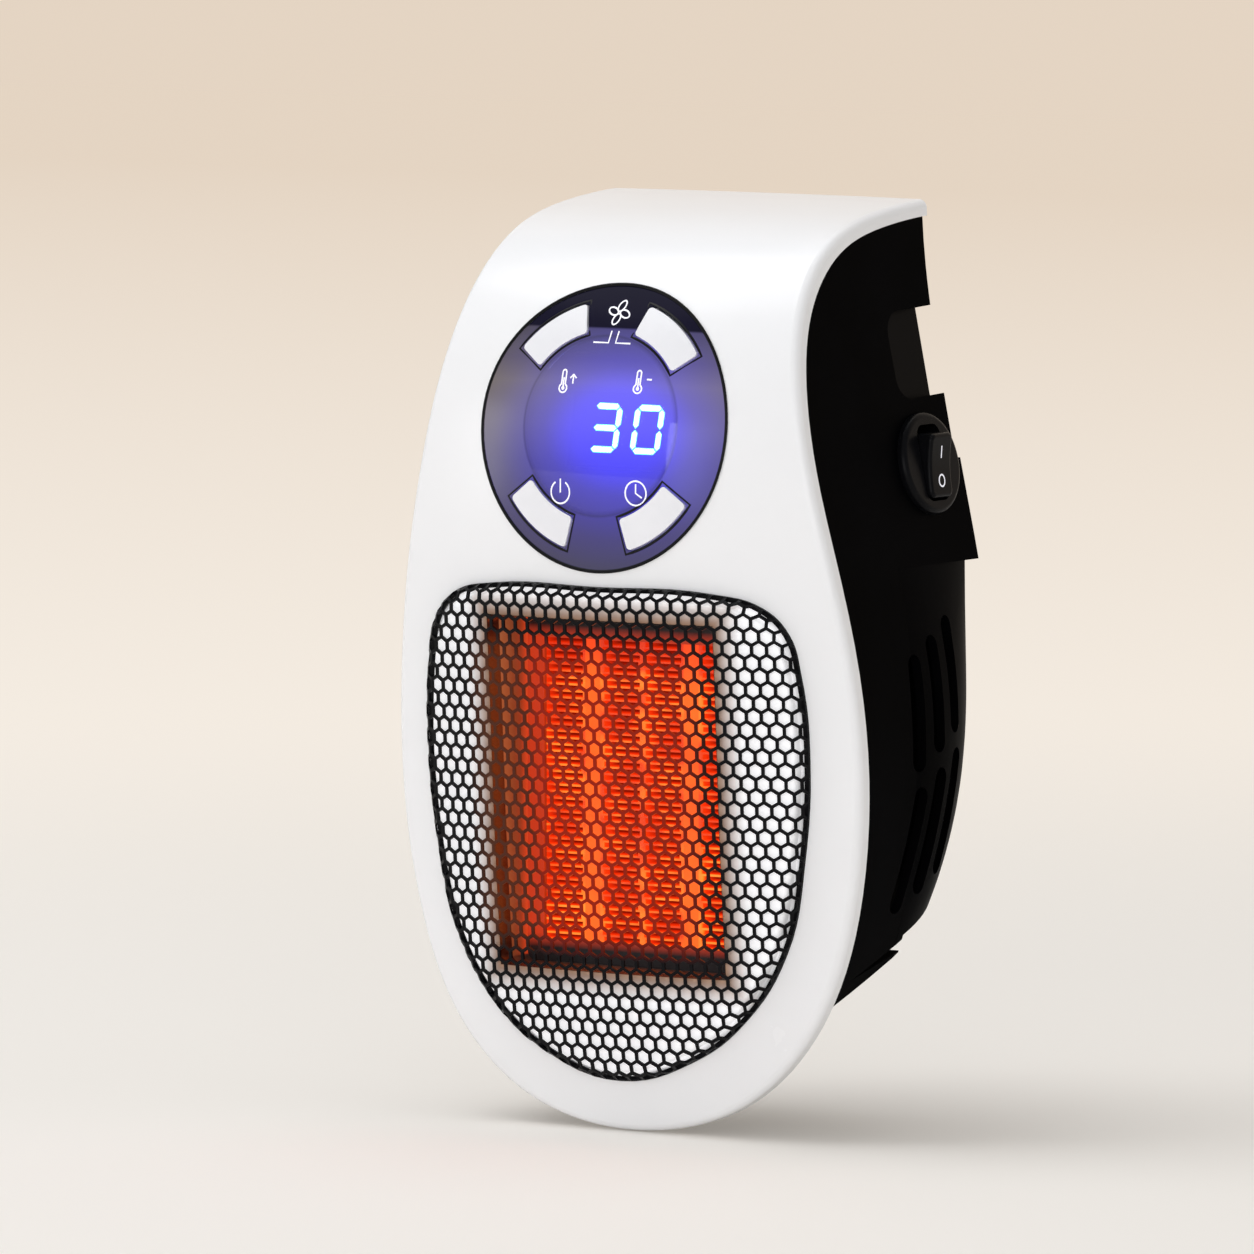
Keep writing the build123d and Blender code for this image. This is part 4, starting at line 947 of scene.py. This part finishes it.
def lens_material():
    material, tree, shader = new_material("lens_dark")
    links = tree.links
    from_centre = joined(tree, "SUBTRACT", object_place(tree), LENS_CENTRE, whole=True)
    across = along(tree, from_centre, LENS_ACROSS)
    high = along(tree, from_centre, LENS_UP)
    reach = joined(tree, "SQRT", joined(tree, "ADD", squared(tree, across), squared(tree, high)))
    clear = mapped(tree, reach, CLEAR_REACH, CLEAR_REACH - CLEAR_EDGE, 0.0, 1.0)
    tinted = mapped(tree, reach, CLEAR_REACH - CLEAR_EDGE, CLEAR_REACH - TINT_EDGE, 0.0, 1.0)
    band = mapped(tree, high, BAND_FOOT, BAND_FOOT + BAND_EDGE, 0.0, 1.0)
    glow = mixed(tree, band, lens_glow(tree, across, high), BAND_GLOW)
    wall = mixed(tree, clear, FULL_GLOW, WALL_SHARE)
    shine = mapped(tree, high, BAND_FOOT - SHINE_FADE, BAND_FOOT, LENS_SHINE, BAND_SHINE)
    roughness = mapped(tree, clear, 0.0, 1.0, SOLID_ROUGHNESS, CLEAR_ROUGHNESS)
    links.new(joined(tree, "MULTIPLY", glow, wall, whole=True), shader.inputs["Emission Color"])
    links.new(clear, shader.inputs["Transmission Weight"])
    links.new(mixed(tree, tinted, SMOKE, CLEAR_TINT), shader.inputs["Base Color"])
    links.new(roughness, shader.inputs["Roughness"])
    links.new(shine, shader.inputs["Specular IOR Level"])
    shader.inputs["Emission Strength"].default_value = 1.0
    shader.inputs["IOR"].default_value = LENS_IOR
    return material


dress("control_lens", lens_material())
print("lens clear within", round(CLEAR_REACH / MM, 1), "mm of its centre")

# %% [markdown]
# ## The lit number
# The display's number is two seven-segment digits. One segment is a flat bar with pointed
# ends; its face is inset once, so that its middle shines white and its edge blue. The same
# bar, turned and moved, gives both digits, which stand on the front of the display module.
# A font would be quicker, but its letters aren't made of such bars.

# %% One segment of a digit
SEGMENT_WIDE = 1.4
SEGMENT_GAP = 0.25
SEGMENT_DEPTH = 0.1
EDGE_WIDE = 0.26
LIT_BASE = (0.8, 0.8, 0.8)
LIT_ROUGHNESS = 0.5


def glowing(name, colour, strength):
    material, tree, shader = new_material(name)
    shader.inputs["Base Color"].default_value = (*LIT_BASE, 1)
    shader.inputs["Emission Color"].default_value = (*colour, 1)
    shader.inputs["Emission Strength"].default_value = strength
    shader.inputs["Roughness"].default_value = LIT_ROUGHNESS
    return material


digit_white = glowing("digit_white", (0.93, 0.97, 1.0), 30.0)
digit_edge = glowing("digit_edge", (0.05, 0.35, 1.0), 16.0)


def segment(name, length, across, high, turn):
    nothing_selected()
    bpy.ops.mesh.primitive_circle_add(vertices=6, radius=1, fill_type="NGON",
                                      location=(0, 0, 0))
    bar = bpy.context.object
    bar.name = name
    long, thick = length / 2, SEGMENT_WIDE / 2
    corners = ((long, 0), (long - thick, thick), (thick - long, thick),
               (-long, 0), (thick - long, -thick), (long - thick, -thick))
    for vertex, (x, y) in zip(bar.data.vertices, corners):
        vertex.co = (x, y, 0)
    bar.data.materials.append(digit_edge)
    bar.data.materials.append(digit_white)
    bpy.ops.object.mode_set(mode="EDIT")
    bpy.ops.mesh.select_mode(type="FACE")
    bpy.ops.mesh.select_all(action="SELECT")
    bpy.ops.mesh.extrude_region_move(
        TRANSFORM_OT_translate={"value": (0, 0, SEGMENT_DEPTH)})
    bpy.ops.mesh.inset(thickness=EDGE_WIDE)
    bar.active_material_index = 1
    bpy.ops.object.material_slot_assign()
    bpy.ops.object.mode_set(mode="OBJECT")
    facing_out(bar)
    bar.data.transform(Matrix.Translation((across, high, 0)) @ Matrix.Rotation(turn, 4, "Z"))
    return bar


print("segment", SEGMENT_WIDE, "mm wide")

# %% [markdown]
# ## From bars to digits
# A digit has seven places for a bar, and the ones that are lit make the number. The bars of
# a digit are joined, leant over a little, and put on the plane of the display.

# %% Two digits on the display
DIGIT_HALF_WIDE = 3.05
DIGIT_HALF_TALL = 4.6
DIGIT_LEAN = 0.05
DIGIT_RISE = 0.4
DIGIT_OUT = -9.72


def lens_spot(across, high, out):
    return LENS_CENTRE + (LENS_ACROSS * across + LENS_UP * high + LENS_OUT * out) * MM


def digit(name, lit, centre):
    flat, upright = 2 * DIGIT_HALF_WIDE - SEGMENT_GAP, DIGIT_HALF_TALL - SEGMENT_GAP
    places = {"top": (flat, 0, DIGIT_HALF_TALL, 0), "middle": (flat, 0, 0, 0),
              "bottom": (flat, 0, -DIGIT_HALF_TALL, 0)}
    for side, wide in (("left", -DIGIT_HALF_WIDE), ("right", DIGIT_HALF_WIDE)):
        places["upper_" + side] = (upright, wide, DIGIT_HALF_TALL / 2, math.pi / 2)
        places["lower_" + side] = (upright, wide, -DIGIT_HALF_TALL / 2, math.pi / 2)
    bars = [segment(name + "_" + part, *places[part]) for part in lit]
    only(bars[0])
    for bar in bars:
        bar.select_set(True)
    bpy.ops.object.join()
    number = bpy.context.object
    number.name = name
    for vertex in number.data.vertices:
        across = centre + vertex.co.x + vertex.co.y * DIGIT_LEAN
        vertex.co = lens_spot(across, DIGIT_RISE + vertex.co.y, DIGIT_OUT + vertex.co.z)
    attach(number, "heater")
    print(name, "lit with", len(lit), "segments")


digit("digit_tens", ("top", "upper_right", "middle", "lower_right", "bottom"), centre=-3.8)
digit("digit_ones", ("top", "upper_right", "lower_right", "bottom", "lower_left", "upper_left"),
      centre=6.8)

# %% [markdown]
# ## Thin lines laid on a surface
# The symbols and the dark lines round the keys are far too fine to cut into the lens. Each
# is drawn as a flat path in millimetres and given a fine round section by Blender's curve.
# Every point is then moved along a ray to the surface behind it, so the line follows the
# lens's curve and stands only a hair proud of it.

# %% Strokes and how they are laid on a surface
MARK_PROUD = 0.05
MARK_ROUND = 0.8
CAST_FROM = 30
NEAR_ZERO = 0.001
SAME_PLACE = 1e-6
ARC_STEPS = 28


def surface_of(node):
    return BVHTree.FromObject(nodes[node], bpy.context.evaluated_depsgraph_get())


def strokes(name, paths, radius):
    nothing_selected()
    curve = bpy.data.curves.new(name, "CURVE")
    curve.dimensions = "3D"
    curve.bevel_depth = radius
    curve.bevel_resolution = 1
    curve.use_fill_caps = True
    for path in paths:
        closed = len(path) > 2 and math.dist(path[0], path[-1]) < SAME_PLACE
        places = path[:-1] if closed else path
        spline = curve.splines.new("POLY")
        spline.points.add(len(places) - 1)
        for point, (across, high) in zip(spline.points, places):
            point.co = (across, high, 0, 1)
        spline.use_cyclic_u = closed
    piece = bpy.data.objects.new(name, curve)
    bpy.context.collection.objects.link(piece)
    only(piece)
    bpy.ops.object.convert(target="MESH")
    return bpy.context.object


def arc(across, high, wide, tall, start, end, turn=0.0, steps=ARC_STEPS):
    path = []
    for step in range(steps + 1):
        angle = math.radians(start + (end - start) * step / steps)
        a, b = wide * math.sin(angle), tall * math.cos(angle)
        path.append((across + a * math.cos(turn) + b * math.sin(turn),
                     high - a * math.sin(turn) + b * math.cos(turn)))
    if abs(end - start) == 360:
        path[-1] = path[0]
    return path


def lay_on(piece, surface, plane, radius, reach=math.inf):
    middle, across, high, outward = plane
    for vertex in piece.data.vertices:
        inward = min(1.0, reach / max(math.hypot(vertex.co.x, vertex.co.y), NEAR_ZERO))
        flat = (across * vertex.co.x + high * vertex.co.y) * MM
        start = middle + flat * inward + outward * CAST_FROM * MM
        hit = surface.ray_cast(start, -outward)[0]
        if hit is None:
            raise ValueError("a mark misses its surface")
        lift = MARK_PROUD + vertex.co.z / radius * MARK_PROUD * MARK_ROUND
        vertex.co = hit + flat * (1 - inward) + outward * lift * MM
    print(piece.name, "laid on its surface")


lens_surface = surface_of("control_lens")
LENS_PLANE = (LENS_CENTRE, LENS_ACROSS, LENS_UP, LENS_OUT)

# %% [markdown]
# ## Painted shadow lines round the keys and the lens
# Each key sits in a narrow slot of the lens, and the lens in a narrow gap of the panel.
# Slots so narrow look grey in a render, so a thin black line along each is a painted shadow
# that deepens it, as the shadow in the real slot does.

# %% Painted shadow lines in the key slots and the lens's gap
KEY_TURNS = (54.5, 125.5, -54.5, -125.5)
KEY_HALF_TURN = 20.1
KEY_INNER = 19.85
KEY_OUTER = 27.85
KEY_STEPS = 12
LENS_EDGE = 30.74
LENS_REACH = 30.2


def key_line(angle):
    turns = [math.radians(angle - KEY_HALF_TURN + 2 * KEY_HALF_TURN * step / KEY_STEPS)
             for step in range(KEY_STEPS + 1)]
    path = [(KEY_OUTER * math.cos(turn), KEY_OUTER * math.sin(turn)) for turn in turns]
    path += [(KEY_INNER * math.cos(turn), KEY_INNER * math.sin(turn))
             for turn in reversed(turns)]
    return path + path[:1]


painted_shadow_black = finish("painted_shadow_black", (0.002, 0.002, 0.003), (0.003, 0.003, 0.004), 0.3,
                    grain=0.5, depth=0.002, shine=0.2)
edge_circle = arc(0, 0, LENS_EDGE, LENS_EDGE, 0, 360, steps=96)
for name, paths, radius in (("key_painted_shadow_lines", [key_line(turn) for turn in KEY_TURNS], 0.28),
                            ("lens_gap_painted_shadow", [edge_circle], 0.38)):
    # each line is a painted shadow laid in its slot or gap
    edges = strokes(name, paths, radius)
    lay_on(edges, lens_surface, LENS_PLANE, radius, reach=LENS_REACH)
    edges.data.materials.append(painted_shadow_black)
    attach(edges, "heater")

# %% [markdown]
# ## Printed symbols
# The symbols on the lens are thin white lines: a fan, two brackets, a thermometer for each
# temperature key, an on and off sign and a clock. They are printed on the real lens, and
# glow faintly here, since they have to show on the glowing plastic.

# %% Symbols on the lens
symbol_white = glowing("symbol_white", (0.75, 0.75, 0.9), 0.45)
SYMBOL_LINE = 0.19
FAN_CENTRE = (0.7, 24.4)
FAN_REACH = 1.5
FAN_TURN = 10
BLADE = (0.78, 1.3)
BLADE_TURN = 24
BULB = (0.98, 0.95)
BULB_LOW = 1.7
DROP = (0.25, 0.25)
COLUMN_FOOT = 1.5
COLUMN_TOP = 0.6
STEM_HALF = 0.49
STEM_FOOT = 0.88
STEM_TOP = 1.7


def fan_blade(quarter):
    angle = math.radians(90 * quarter + FAN_TURN)
    return arc(FAN_CENTRE[0] + FAN_REACH * math.sin(angle),
               FAN_CENTRE[1] + FAN_REACH * math.cos(angle), *BLADE, 0, 360,
               turn=math.radians(90 * quarter + BLADE_TURN))


def thermometer(across, high):
    bulb = arc(across, high - BULB_LOW, *BULB, 30, 330)
    stem = [(across - STEM_HALF, high - STEM_FOOT), (across - STEM_HALF, high + STEM_TOP)]
    stem += arc(across, high + STEM_TOP, STEM_HALF, 0.55, -90, 90, steps=8)[1:]
    stem += [(across + STEM_HALF, high - STEM_FOOT)]
    drop = arc(across, high - BULB_LOW, *DROP, 0, 360, steps=10)
    return [bulb, stem, drop, [(across, high - COLUMN_FOOT), (across, high + COLUMN_TOP)]]


up_arrow = [[(-7.4, 8.5), (-7.4, 10.5)], [(-8.2, 9.7), (-7.4, 10.5), (-6.6, 9.7)]]
minus_line = [[(11.0, 10.1), (12.2, 10.1)]]
for name, paths in (
    ("fan_symbol", [fan_blade(quarter) for quarter in range(4)]),
    ("bracket_symbol", [[(-3.9, 17.65), (-0.1, 17.65), (0.12, 20.3)],
                        [(1.94, 20.3), (1.7, 17.65), (5.4, 17.65)]]),
    ("warmer_symbol", thermometer(-9.8, 9.2) + up_arrow),
    ("cooler_symbol", thermometer(9.0, 9.7) + minus_line),
    ("power_symbol", [arc(-9.0, -14.5, 2.4, 2.4, 32, 328), [(-9.0, -11.7), (-9.0, -14.6)]]),
    ("clock_symbol", [arc(10.0, -14.0, 2.55, 2.55, 0, 360),
                      [(10.0, -12.1), (10.0, -14.0), (11.5, -14.9)]]),
):
    symbol = strokes(name, paths, SYMBOL_LINE)
    lay_on(symbol, lens_surface, LENS_PLANE, SYMBOL_LINE)
    symbol.data.materials.append(symbol_white)
    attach(symbol, "heater")

# %% [markdown]
# ## Symbols on the rocker
# A short line and a ring mark the rocker's two ends. They are laid on the rocker from the
# heater's right, so they follow its hollow face, and they ride on the rocker's own body, so
# they tip with it.

# %% On and off marks
rocker_surface = surface_of("switch_rocker")
rocker_low, rocker_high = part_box("switch_rocker")
ROCKER_PLANE = ((Vector(rocker_low) + Vector(rocker_high)) / 2,
                Vector((0, 1, 0)), Vector((0, 0, 1)), Vector((1, 0, 0)))
for name, paths in (("on_mark", [[(0, 1.6), (0, 4.2)]]),
                    ("off_mark", [arc(0, -3.2, 1.1, 1.25, 0, 360)])):
    mark = strokes(name, paths, SYMBOL_LINE)
    lay_on(mark, rocker_surface, ROCKER_PLANE, SYMBOL_LINE)
    # the marks wear the symbols' white, with the same faint painted glow
    mark.data.materials.append(symbol_white)
    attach(mark, "rocker")
